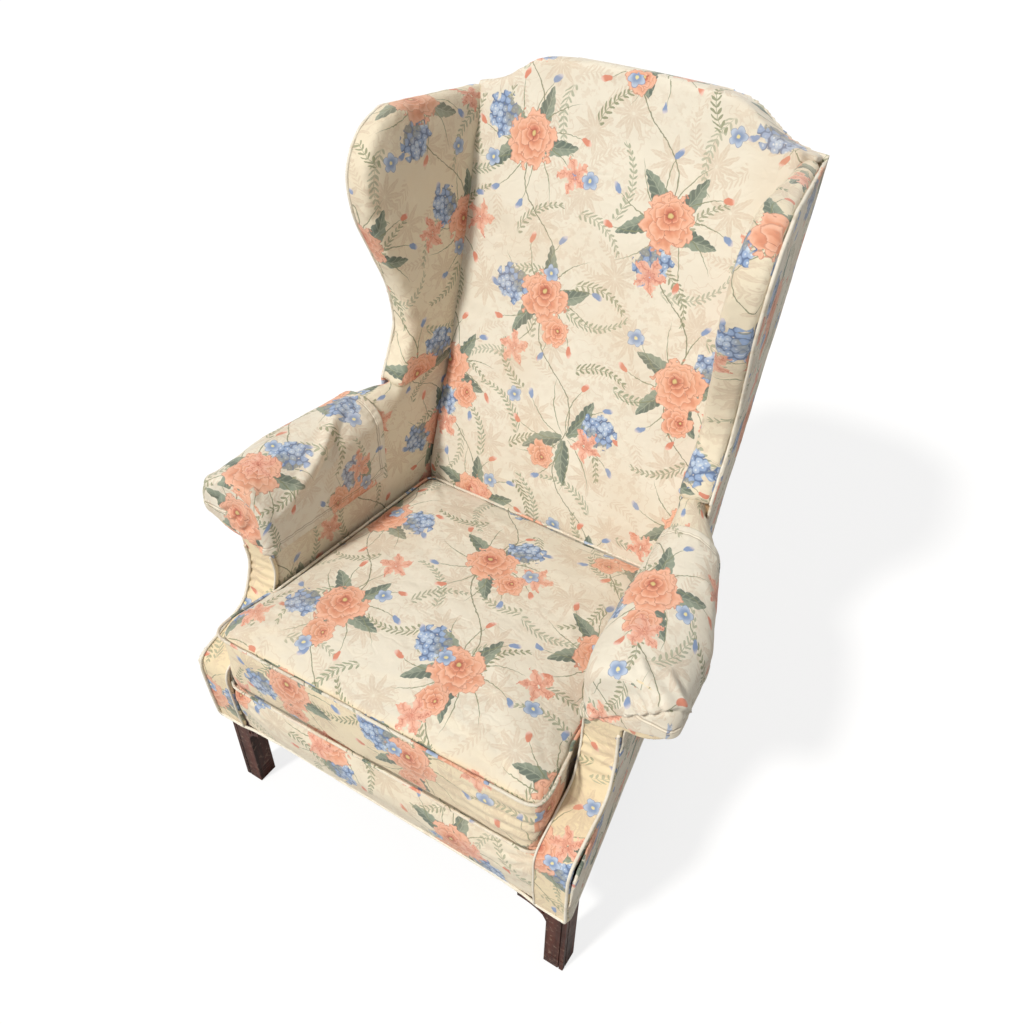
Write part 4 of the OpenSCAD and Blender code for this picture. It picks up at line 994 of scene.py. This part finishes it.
def make_inside_back():
    piece = copied("inside_back", "inside_back_pad")
    rounded(piece, 0.006, 8)
    face = np.array((0, -math.cos(BACK_LEAN), math.sin(BACK_LEAN)))

    def held(co, no):
        return np.where((no @ face > 0.72) & (co[:, 1] < 0.30), 0.0, 1.0)

    puffed(piece, held, 0.011, pressure=3.0)

    def amount(co, no):
        front = np.clip(no @ face, 0, 1) ** 2
        edge = 1 - np.clip(np.abs(co[:, 0]) / 0.24, 0, 1) ** 4
        crown = 0.005 * edge * np.clip((co[:, 2] - 0.46) / 0.1, 0, 1)
        return front * (crown + 0.0022 * ripples(co, 7.0, 11) + 0.0009 * ripples(co, 26.0, 12))

    moved(piece, amount)
    applied(piece, "SUBSURF", levels=1, render_levels=1)

    def rule(co, no):
        v = up_the_back(co)
        rim = no[:, 2] > 0.75
        return co[:, 0], np.where(rim, v + (co[:, 1] - 0.31) * 0.66, v)

    cloth_map(piece, rule)
    dressed(piece, "chair", chintz, ("inside_back_pad",))


def make_wing(word, side):
    piece = copied(word + "_inside_wing", word + "_inside_wing_pad")
    rounded(piece, 0.0042, 6)
    moved(piece, lambda co, no: 0.0042 * np.clip(1.2 - side * no[:, 0] * 2.2, 0, 1))
    applied(piece, "SMOOTH", iterations=12, factor=0.5)

    def held(co, no):
        inward = -side * no[:, 0]
        return np.where(inward > 0.75, 0.0, 1.0)

    puffed(piece, held, 0.007, pressure=3.0)

    def amount(co, no):
        inward = np.clip(-side * no[:, 0], 0, 1)
        return inward * 0.0022 * ripples(co, 10.0, 21 + side) + 0.0008 * ripples(co, 30.0, 23) + 0.0012

    moved(piece, amount)
    applied(piece, "SUBSURF", levels=1, render_levels=1)
    shift = 0.31 if side > 0 else 0.07

    def depth(co):
        return outer_x(co[:, 1] * 1000 + MID_Y, co[:, 2] * 1000) / 1000 - side * co[:, 0]

    flat_face = -side * normals_of(piece)[:, 0] > 0.92
    inner_depth = float(np.median(depth(points_of(piece)[flat_face])))

    def rule(co, no):
        # the cloth runs on over the rounded edge, away from the inner face
        across = np.clip(inner_depth - depth(co), 0, 1)
        return -side * (co[:, 1] + no[:, 1] * across) + shift, co[:, 2] + no[:, 2] * across + 0.11

    cloth_map(piece, rule, soft=True)
    # the wing's cloth gets part of the painted warm sunlit tint
    dressed(piece, "chair", chintz, (word + "_inside_wing_pad",), painted_sun_tint=0.45)

    line = [*pushed_out(wing_front, 1.6), np.array((764, WING_Z + WING_RISE - 20))]
    line = [p for p in spaced(line, 6.0) if p[0] < 735 - (p[1] - 1050) * 0.1]
    corded(word + "_wing_piping", [[on_side(-3.2, y, z) for y, z in line]], 0.0026, "chair",
           (word + "_wing_welt",), side=side, sag=0.0006)


# ---------------------------------------------------------------- outside covers and lower front
def tight_panel(name, node, rule, seed=1.0, hollow=0.0008, forward=0.0):
    """A thin panel of cloth over wadding, drawn tight, with soft edges."""
    piece = copied(name, node)
    moved(piece, lambda co, no: np.full(len(co), 0.0007))
    rounded(piece, 0.0042, 3)
    if forward:
        co, no = points_of(piece), normals_of(piece)
        co[:, 1] -= forward * np.clip(-no[:, 1] * 1.6, 0, 1) * (co[:, 1] < -0.2)
        set_points(piece, co)
    moved(piece, lambda co, no: hollow * ripples(co, 9.0, seed) * np.where(np.abs(no[:, 2]) < 0.8, 1, 0))
    cloth_map(piece, rule)
    dressed(piece, "chair", chintz, (node,))


def make_outsides():
    for word, side in (("left", -1), ("right", 1)):
        def rule(co, no, side=side):
            return side * co[:, 1] + 0.17 * side, co[:, 2] + 0.05
        tight_panel(word + "_outside_arm", word + "_outside_arm_panel", rule, seed=31 + side, forward=0.007)
        tight_panel(word + "_outside_wing", word + "_outside_wing_panel", rule, seed=33 + side)
    tight_panel("outside_back", "outside_back_panel", lambda co, no: (-co[:, 0] + 0.3, co[:, 2]), seed=37)


def make_front_border():
    piece = copied("front_border_pad", "front_border")
    rounded(piece, 0.004, 3)

    def held(co, no):
        return np.where(no[:, 1] < -0.6, 0.0, 1.0)

    puffed(piece, held, 0.006, pressure=2.5)
    moved(piece, lambda co, no: np.clip(-no[:, 1], 0, 1) * (
        0.0016 * ripples(co * np.array((1, 1, 2.0)), 9.0, 41) + 0.0006 * ripples(co, 40.0, 42))
        + 0.0022 * np.clip(-no[:, 2] - no[:, 1], 0, 1))
    co = points_of(piece)
    low = np.clip((0.222 - co[:, 2]) / 0.03, 0, 1) ** 2 * (co[:, 1] * 1000 + MID_Y < 32)
    co[:, 1] -= 0.0036 * low
    set_points(piece, co)
    applied(piece, "SUBSURF", levels=1, render_levels=1)

    def rule(co, no):
        return co[:, 0] + 0.02, np.where(no[:, 2] > 0.7, co[:, 1] + 0.62, co[:, 2] - 0.08)

    cloth_map(piece, rule)
    # the border gets a little of the painted warm sunlit tint
    dressed(piece, "chair", chintz, ("front_border",), painted_sun_tint=0.3)


# ---------------------------------------------------------------- arms
def arm_line():
    """Y, outer x, middle height and half height of the rolled arm, front to back."""
    back_y = WING_Y - 14
    axis = ARM_TOP - ROLL_H
    made = [(ROLL_Y, inner_x(SCROLL_Y) + 2 * ROLL_W, axis, ROLL_H)]
    for f, out, rise, thin in ((0.377, 68, 0.5, 4), (0.645, 48.6, 1.05, 10),
                               (0.863, 32.1, 1.5, 16), (1, 6, 1.8, 22)):
        y, z = ROLL_Y + f * (back_y - ROLL_Y), axis + rise * 30
        made.append((y, outer_x(y, z) + out, z, ROLL_H - thin))
    return np.array(made)


ARM = arm_line()


def arm_at(y):
    """Middle x, middle z, half width and half height of the arm roll at y."""
    outer = np.interp(y, ARM[:, 0], ARM[:, 1])
    inner = inner_x(y)
    return ((outer + inner) / 2, np.interp(y, ARM[:, 0], ARM[:, 2]), (outer - inner) / 2,
            np.interp(y, ARM[:, 0], ARM[:, 3]))


def add_lofted(piece, rings):
    """Adds a closed tube through rings of points to a piece's mesh."""
    work = bmesh.new()
    work.from_mesh(piece.data)
    made = [[work.verts.new(p) for p in ring] for ring in rings]
    n = len(rings[0])
    for a, b in zip(made, made[1:]):
        for i in range(n):
            work.faces.new((a[i], a[(i + 1) % n], b[(i + 1) % n], b[i]))
    work.faces.new(made[0][::-1])
    work.faces.new(made[-1])
    work.to_mesh(piece.data)
    work.free()


def make_arm(word, side):
    piece = copied(word + "_arm", word + "_arm_roll", word + "_inside_arm_panel")

    def ring(y, mid, level, half, tall, count):
        return [row((mid + half * math.cos(t), y, level + tall * math.sin(t)), side)
                for t in np.linspace(0, 2 * math.pi, count, endpoint=False)]

    # the arm's rear end goes on between the wing and the back
    _, level, _, tall = arm_at(WING_Y - 14)
    rings = []
    for y in (415, 440, 470, 510, 550):
        slim = 3 if y < 430 else 0
        inner, outer = inner_x(y) + slim, outer_x(y, level) - 5
        rings.append(ring(y, (outer + inner) / 2, level + 1, (outer - inner) / 2, tall + 1.5 - slim, 24))
    add_lofted(piece, rings)
    # the roll runs full round, over the inside arm's top edge
    add_lofted(piece, [ring(y, *(arm_at(y)), 48) for y in np.linspace(SCROLL_Y + 8, 432, 12)])
    rounded(piece, 0.0046, 7)
    moved(piece, lambda co, no: 0.0012 * ripples(co, 14.0, 51 + side) + 0.0005 * ripples(co, 38.0, 53) - 0.0012)
    applied(piece, "SUBSURF", levels=1, render_levels=1)

    def rule(co, no):
        y = co[:, 1] * 1000 + MID_Y
        cx, cz, _, _ = (q / 1000 for q in arm_at(y))
        dx, dz = side * co[:, 0] - cx, co[:, 2] - cz
        around = np.arctan2(dz, -dx) * 0.056
        inside = (co[:, 2] < cz) & (dx < 0)
        return -side * co[:, 1] + 0.23 * side, np.where(inside, co[:, 2], cz + around) + 0.31

    cloth_map(piece, rule)
    # the arm's cloth gets part of the painted warm sunlit tint
    dressed(piece, "chair", chintz, (word + "_arm_roll", word + "_inside_arm_panel"),
            painted_sun_tint=0.35)

    front = copied(word + "_arm_front", word + "_arm_front_panel")
    rounded(front, 0.0026, 4)

    def amount(co, no):
        neck = np.exp(-((co[:, 2] - 0.425) / 0.05) ** 2)
        folds = np.sin(co[:, 2] * 2 * math.pi / 0.017 + 2.2 * ripples(co, 16.0, 61)) * neck
        outward = np.clip(side * no[:, 0], 0, 1) * 0.0012
        faced = np.clip(-no[:, 1] + 0.3 * no[:, 2], 0, 1)
        return (folds * 0.0015 + 0.0009 * ripples(co, 24.0, 62)) * faced + outward

    moved(front, amount)
    cloth_map(front, lambda co, no: (co[:, 0] + 0.12, co[:, 2] + 0.8 * co[:, 1] + 0.05))
    # the arm front gets the full painted warm sunlit tint
    dressed(front, "chair", chintz, (word + "_arm_front_panel",), painted_sun_tint=1.0)

    # the inner and outer edges of the front's strip, as z and x
    neck_x = inner_x(SCROLL_Y)
    strip_in = [(190, INNER_HALF - 1), (336, INNER_HALF - 1), (460, neck_x), (513, neck_x + 2)]
    strip_out = [(190, SEAT_FRONT_W / 2), (336, SEAT_FRONT_W / 2 + 1), (460, neck_x + 58), (513, neck_x + 58)]
    lines = []
    for edge, push in ((strip_in, WELT), (strip_out, -WELT)):
        zs, xs = zip(*edge)
        out = 0.8 if push > 0 else 1.8
        line = [(np.interp(z, zs, xs) + push * 0.6, y, z)
                for y, z in spaced(pushed_out(front_edge, -out), 5.0) if 196 < z < 492]
        # each line runs into the piping along the bottom, the outer one round the corner
        if push > 0:
            foot = [(line[0][0], FOOT_Y, RAIL_Z + 0.5), (line[0][0], FOOT_Y - 1.4, RAIL_Z + 3.5)]
        else:
            foot = [(line[0][0] - 10, 12.6, RAIL_Z + 0.5), (line[0][0] - 4.2, 12.1, RAIL_Z + 1.2),
                    (line[0][0] - 1.1, 11.5, RAIL_Z + 3.6)]
        lines.append([*foot, *line])
    corded(word + "_arm_front_piping", lines, 0.0024, "chair", (word + "_arm_front_welts",), side=side,
           sag=0.0005, share=(0.72, 1.0))


def make_bottom_piping():
    half = [(outer_x(541, 190) - 9, 539.8), (outer_x(541, 190) - 2.5, 534.4), (outer_x(450, 190) + 0.2, 450),
            (outer_x(40, 190) + 0.2, 40), (outer_x(24, 190), 23), (outer_x(20, 190) - 2.5, 16.0),
            (outer_x(20, 190) - 8.5, 12.6), (INNER_HALF + 4, FOOT_Y), (INNER_HALF - 20, FOOT_Y + 3.4),
            (INNER_HALF - 80, FOOT_Y + 6.4)]
    whole = half + [(-x, y) for x, y in reversed(half)]
    line = spaced([(x, y, RAIL_Z + 0.5) for x, y in whole + [whole[0]]], 4.0)[:-1]
    corded("bottom_piping", [line], 0.0026, "chair", ("bottom_welt",), closed=True, sag=0.0004)


# ---------------------------------------------------------------- loose arm covers
COVER_OUT, COVER_T = 3.4, 2.4  # how far it stands off the arm, and its thickness with its lining
COVER_REAR = 395.0
HEM_Z, HEM_RISE = 500.0, math.tan(math.radians(18))  # the hem's height at the inside arm, and its rise outwards


def hem_z(x):
    return HEM_Z + (x - inner_x(SCROLL_Y)) * HEM_RISE


def cover_ring(y, shrink, squeeze, n_side, n_top):
    """One ring of the cover, from the inner hem over the top to the outer hem."""
    cx, cz, a, b = arm_at(max(y, ROLL_Y))
    if y < ROLL_Y:
        cx += inner_x(y) - inner_x(ROLL_Y)
    a, b = a + COVER_OUT - shrink, b + COVER_OUT - shrink
    a, b = a * squeeze, b * squeeze
    ring = []
    low = hem_z(cx - a)
    ring += [(cx - a, low + (cz - low) * t) for t in np.linspace(0, 1, n_side, endpoint=False)]
    ring += [(cx - a * math.cos(t), cz + b * math.sin(t)) for t in np.linspace(0, math.pi, n_top)]
    low = min(hem_z(cx + a), cz - 2)
    ring += [(cx + a, cz + (low - cz) * t) for t in np.linspace(0, 1, n_side + 1)[1:]]
    return [(x, y, z) for x, z in ring]


def with_folds(total, at, folds):
    """Adds the folds to how far each point rises: ridges with a fallen side, from point to point."""
    for line, high, wide in folds:
        best = np.full(len(at), 1e9)
        share = np.zeros(len(at))
        below = np.zeros(len(at))
        steps = [np.array(p, float) for p in line]
        for i, (p, q) in enumerate(zip(steps, steps[1:])):
            d = q - p
            t = np.clip(((at - p) @ d) / (d @ d), 0, 1)
            away = at - (p + t[:, None] * d)
            gap = np.linalg.norm(away, axis=1)
            near = gap < best
            best = np.where(near, gap, best)
            share = np.where(near, (i + t) / (len(steps) - 1), share)
            below = np.where(near, away[:, 1], below)
        swell = np.exp(-(best / wide) ** 2)
        trough = np.exp(-((best - wide * 1.7) / (wide * 0.8)) ** 2) * (below > 0)
        fade = np.sin(np.clip(share * 0.85 + 0.15, 0, 1) * math.pi * 0.9)
        total = total + (high * swell - high * 0.3 * trough) * fade
    return total


def make_cover(word, side, folds, seed, full=0.0):
    n_side, n_top, corner = 16, 52, 15.0
    front = SCROLL_Y - COVER_OUT
    rings = [cover_ring(y, 0, 1, n_side, n_top) for y in np.linspace(COVER_REAR, front + corner, 72)]
    rings += [cover_ring(front + corner * (1 - math.sin(t)), corner * (1 - math.cos(t)), 1, n_side, n_top)
              for t in np.linspace(0, math.pi / 2, 9)[1:]]
    rings += [cover_ring(front, corner, k, n_side, n_top) for k in np.linspace(1, 0, 16)[1:]]
    pts = np.array(rings)
    n_r, n_t = pts.shape[:2]
    mesh = bpy.data.meshes.new(word + "_cover")
    faces = [(i * n_t + j, (i + 1) * n_t + j, (i + 1) * n_t + j + 1, i * n_t + j + 1)
             for i in range(n_r - 1) for j in range(n_t - 1)]
    mesh.from_pydata([row(p, side) for p in pts.reshape(-1, 3)], [], faces)
    piece = bpy.data.objects.new(word + "_arm_cover_cloth", mesh)
    scene.collection.objects.link(piece)
    # the cloth's own measure: along the arm and round it
    steps = np.linalg.norm(np.diff(pts, axis=1), axis=2)
    run = np.concatenate((np.zeros((n_r, 1)), np.cumsum(steps, axis=1)), 1)
    run -= run[:, [n_side + n_top // 2]]
    along = np.concatenate(([0], np.cumsum([np.linalg.norm(pts[i + 1, n_t // 2] - pts[i, n_t // 2])
                                            for i in range(n_r - 1)])))
    flat = np.stack((np.repeat(along[:, None], n_t, 1) / 1000, run / 1000), -1).reshape(-1, 2)
    work = bmesh.new()
    work.from_mesh(mesh)
    work.verts.ensure_lookup_table()
    layer = work.loops.layers.uv.new("cloth")
    cap_y = row((0, front + 1.0, 0))[1]
    for face in work.faces:
        cap = all(vert.co.y < cap_y for vert in face.verts)
        for loop in face.loops:
            i = loop.vert.index
            if cap:
                loop[layer].uv = (loop.vert.co.x + 0.5, loop.vert.co.z + 0.2)
            else:
                loop[layer].uv = (side * flat[i][1] + 0.15 * (1 + side), -flat[i][0] + 0.9 * seed)
    bmesh.ops.remove_doubles(work, verts=work.verts, dist=1e-5)
    bmesh.ops.recalc_face_normals(work, faces=work.faces)
    heart = Vector((side * 0.335, -0.15, 0.56))
    if sum((f.calc_center_median() - heart).dot(f.normal) for f in work.faces) < 0:
        bmesh.ops.reverse_faces(work, faces=work.faces)
    work.to_mesh(mesh)
    work.free()
    applied(piece, "SUBSURF", levels=1, render_levels=1)

    hem_depth = np.zeros(0)

    def amount(co, no):
        nonlocal hem_depth
        x, y, z = side * co[:, 0] * 1000, co[:, 1] * 1000 + MID_Y, co[:, 2] * 1000
        at = np.stack((x, y, z), 1)
        cx, cz, a, b = arm_at(np.maximum(y, ROLL_Y))
        total = 1.3 * ripples(co * np.array((1, 0.6, 1)), 12.0, seed) + 0.5 * ripples(co, 38.0, seed + 4)
        # fullness on the side towards the seat, above what the lifted cushion passes
        inward = np.clip((cx - x) / a, 0, 1) * np.clip((z - 540) / 45, 0, 1)
        total += full * inward * np.clip((COVER_REAR - y) / 120, 0, 1) * np.clip((y - 128) / 40, 0, 1)
        total = with_folds(total, at, folds)
        # the gathered seam across the front, puffs above it and a lip below it
        rise = (z - 505) * 0.748 - (x - 300) * 0.663
        run = (x - 300) * 0.748 + (z - 505) * 0.663
        faced = y < front + 46
        up = rise + np.maximum(y - front - 3, 0)
        puffs = np.abs(np.sin(run / 26.0 * math.pi + 0.9 * np.sin(run / 19.0 + seed) + seed)) ** 0.7
        puffs = puffs * (0.75 + 0.6 * ripples(co, 22.0, seed + 9))
        above = np.where(up > 0, np.clip(up / 5, 0, 1) * np.exp(-(np.maximum(up - 7, 0) / 19) ** 2), 0)
        total += faced * above * (7.5 * puffs + 0.5)
        tucks = np.sin(run / 4.1 * 2 * math.pi / 2 + 2.0 * np.sin(run / 13.0))
        total += faced * 0.9 * tucks * np.exp(-((up - 2) / 7.0) ** 2) * (up > -2)
        total -= faced * 1.4 * np.exp(-(up / 2.4) ** 2)
        total += faced * (up < 0) * 1.8 * np.clip(-up / 7, 0, 1) * np.clip(1.4 + rise / 60, 0, 1)
        # hems: a doubled edge with a sunk row of stitches and small puckers
        inner_low = hem_z(cx - a)
        outer_low = np.minimum(hem_z(cx + a), cz - 2)
        rear = np.where(y > front + 30, COVER_REAR - y, 99)
        hem = np.minimum(np.where(x < cx, z - inner_low, z - outer_low), rear)
        hem = np.where(z > cz, rear, hem)
        along_hem = np.where(hem == COVER_REAR - y, np.arctan2(z - cz, x - cx) * 60, y)
        hem_depth = np.clip(hem, 1, 60)
        total += 1.0 * np.clip((13 - hem) / 2, 0, 1) - 1.2 * np.exp(-((hem - 13.5) / 1.8) ** 2)
        pucker = np.sin(along_hem / 9.0 * math.pi + 2 * np.sin(along_hem / 23.0))
        total += 0.7 * np.exp(-((hem - 13) / 9.0) ** 2) * pucker
        return np.clip(total, -1.0, 14.0) / 1000 - 0.0002

    moved(piece, amount)
    layer = piece.data.attributes.new("hem", "FLOAT", "POINT")
    layer.data.foreach_set("value", (hem_depth / 1000).astype(np.float32))
    applied(piece, "SMOOTH", iterations=1, factor=0.4)
    applied(piece, "SOLIDIFY", thickness=COVER_T / 1000, offset=-1.0)
    dressed(piece, word + "_cover", chintz, (word + "_arm_cover",))


def make_dust_cover():
    """The black cloth tacked under the seat, a thin sheet that hangs a little between its tacks."""
    piece = copied("dust_cover_cloth", "dust_cover")
    work = bmesh.new()
    work.from_mesh(piece.data)
    bmesh.ops.delete(work, geom=[f for f in work.faces if f.normal.z > -0.9], context="FACES")
    for across, low, high in ((Vector((1, 0, 0)), -0.33, 0.33), (Vector((0, 1, 0)), -0.36, 0.37)):
        for at in np.arange(low, high, 0.015):
            bmesh.ops.bisect_plane(work, geom=work.verts[:] + work.edges[:] + work.faces[:],
                                   plane_co=across * float(at), plane_no=across)
    rim = np.array([v.co for v in work.verts if v.is_boundary])
    area = sum(f.calc_area() for f in work.faces)
    for v in work.verts:
        away = float(np.min(np.linalg.norm(rim - np.array(v.co), axis=1)))
        sag = 0.004 * (1 - math.exp(-(away / 0.07) ** 2)) + 0.0007 * math.exp(-away / 0.02) * math.sin(
            (v.co.x + v.co.y) * 150)
        v.co.z -= max(sag + 0.001 * noise.noise(v.co * 14.0) * min(1.0, away / 0.03), 0.0)
    work.to_mesh(piece.data)
    work.free()
    applied(piece, "SOLIDIFY", thickness=0.0008, offset=-1.0)
    cloth_map(piece, lambda co, no: (co[:, 0], co[:, 1]))
    dressed(piece, "chair", cambric, ("dust_cover",))
    low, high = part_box("dust_cover")


# ---------------------------------------------------------------- dressing the chair
make_cushion()
make_inside_back()
for word, side in (("left", -1), ("right", 1)):
    make_wing(word, side)
    make_arm(word, side)
make_outsides()
make_front_border()
make_bottom_piping()
# each fold: its points in millimetres, its height and its width
make_cover("left", -1, [
    ([(307, 368, 644), (280, 274, 613), (273, 164, 565)], 11.0, 10.0),
    ([(303, 366, 644), (262, 372, 612)], 4.0, 8.0),
    ([(300, 330, 636), (270, 230, 580), (271, 187, 546)], 4.0, 8.0),
    ([(301, 146, 607), (312, 136, 570), (325, 132, 538)], 5.0, 7.0),
    ([(340, 250, 632), (372, 190, 610)], 3.0, 10.0),
    ([(262, 330, 560), (268, 240, 530)], 3.0, 7.0),
], 3.0)
make_cover("right", 1, [
    ([(378, 168, 611), (398, 156, 596), (406, 150, 575)], 7.0, 8.0),
    ([(338, 166, 620), (350, 152, 620), (360, 146, 616)], 4.5, 6.0),
    ([(310, 179, 617), (310, 224, 621)], 3.5, 7.0),
    ([(290, 215, 606), (282, 300, 600)], 3.0, 9.0),
    ([(300, 350, 632), (342, 376, 632), (372, 380, 610)], 3.5, 8.0),
    ([(345, 330, 632), (380, 300, 610)], 2.5, 9.0),
    ([(275, 200, 572), (268, 290, 557)], 3.0, 8.0),
], 7.0, full=9.0)
make_dust_cover()

deck = copied("seat_deck_pad", "deck_pad")
rounded(deck, 0.005, 2)
moved(deck, lambda co, no: 0.0008 * ripples(co, 12.0, 71) - 0.0004)
cloth_map(deck, lambda co, no: (co[:, 0], co[:, 1]))
dressed(deck, "chair", felt, ("deck_pad",))

core = copied("cushion_filling", "cushion_core")
rounded(core, 0.009, 3)
moved(core, lambda co, no: np.full(len(co), -0.008))
dressed(core, "seat_cushion", felt, ("cushion_core",))

# ---------------------------------------------------------------- room
bpy.ops.object.select_all(action="DESELECT")
bpy.ops.mesh.primitive_plane_add(size=40, location=(0, 0, -0.0005))
floor = bpy.context.object
floor.name = "floor"
floor_coat, k = blank_finish("pale_floor")
path = k.make("ShaderNodeLightPath")
matt = k.make("ShaderNodeBsdfDiffuse")
matt.inputs[0].default_value = (0.80, 0.80, 0.80, 1)
glow = k.make("ShaderNodeEmission")
glow.inputs[0].default_value = (1, 1, 1, 1)
glow.inputs[1].default_value = 1.12
bounce = k.make("ShaderNodeBsdfDiffuse")
bounce.inputs[0].default_value = (0.46, 0.46, 0.455, 1)
mixed = k.make("ShaderNodeMixShader")
out = k.make("ShaderNodeOutputMaterial")
k.links.new(path.outputs["Is Camera Ray"], mixed.inputs[0])
k.links.new(bounce.outputs[0], mixed.inputs[1])
both = k.make("ShaderNodeMixShader")
both.inputs[0].default_value = 0.70
k.links.new(matt.outputs[0], both.inputs[1])
k.links.new(glow.outputs[0], both.inputs[2])
k.links.new(both.outputs[0], mixed.inputs[2])
k.links.new(mixed.outputs[0], out.inputs[0])
floor.data.materials.append(floor_coat)

world = bpy.data.worlds.new("studio")
scene.world = world
world.use_nodes = True
w = Cloth(world.node_tree)
w.nodes.clear()
path = w.make("ShaderNodeLightPath")
plain = w.make("ShaderNodeBackground")
plain.inputs[0].default_value = (1.0, 0.985, 0.96, 1)
plain.inputs[1].default_value = 0.40
white = w.make("ShaderNodeBackground")
white.inputs[1].default_value = 1.0
mixed = w.make("ShaderNodeMixShader")
out = w.make("ShaderNodeOutputWorld")
seen = w.make("ShaderNodeMath", operation="MAXIMUM")
w.links.new(path.outputs["Is Camera Ray"], seen.inputs[0])
w.links.new(path.outputs["Is Glossy Ray"], seen.inputs[1])
w.links.new(seen.outputs[0], mixed.inputs[0])
w.links.new(plain.outputs[0], mixed.inputs[1])
w.links.new(white.outputs[0], mixed.inputs[2])
w.links.new(mixed.outputs[0], out.inputs[0])


def lamp(name, toward, strength, spread, tint):
    light = bpy.data.lights.new(name, "SUN")
    light.energy, light.angle, light.color = strength, math.radians(spread), tint
    holder = bpy.data.objects.new(name, light)
    holder.rotation_mode = "QUATERNION"
    holder.rotation_quaternion = Vector(toward).normalized().to_track_quat("Z", "Y")
    scene.collection.objects.link(holder)


lamp("key", (-0.20, -0.66, 0.72), 2.85, 6, (1.0, 0.97, 0.92))
lamp("fill", (-0.6, -0.7, 0.4), 0.20, 60, (0.97, 0.98, 1.0))
lamp("back_fill", (0.0, 0.97, 0.14), 0.75, 60, (1.0, 0.98, 0.95))
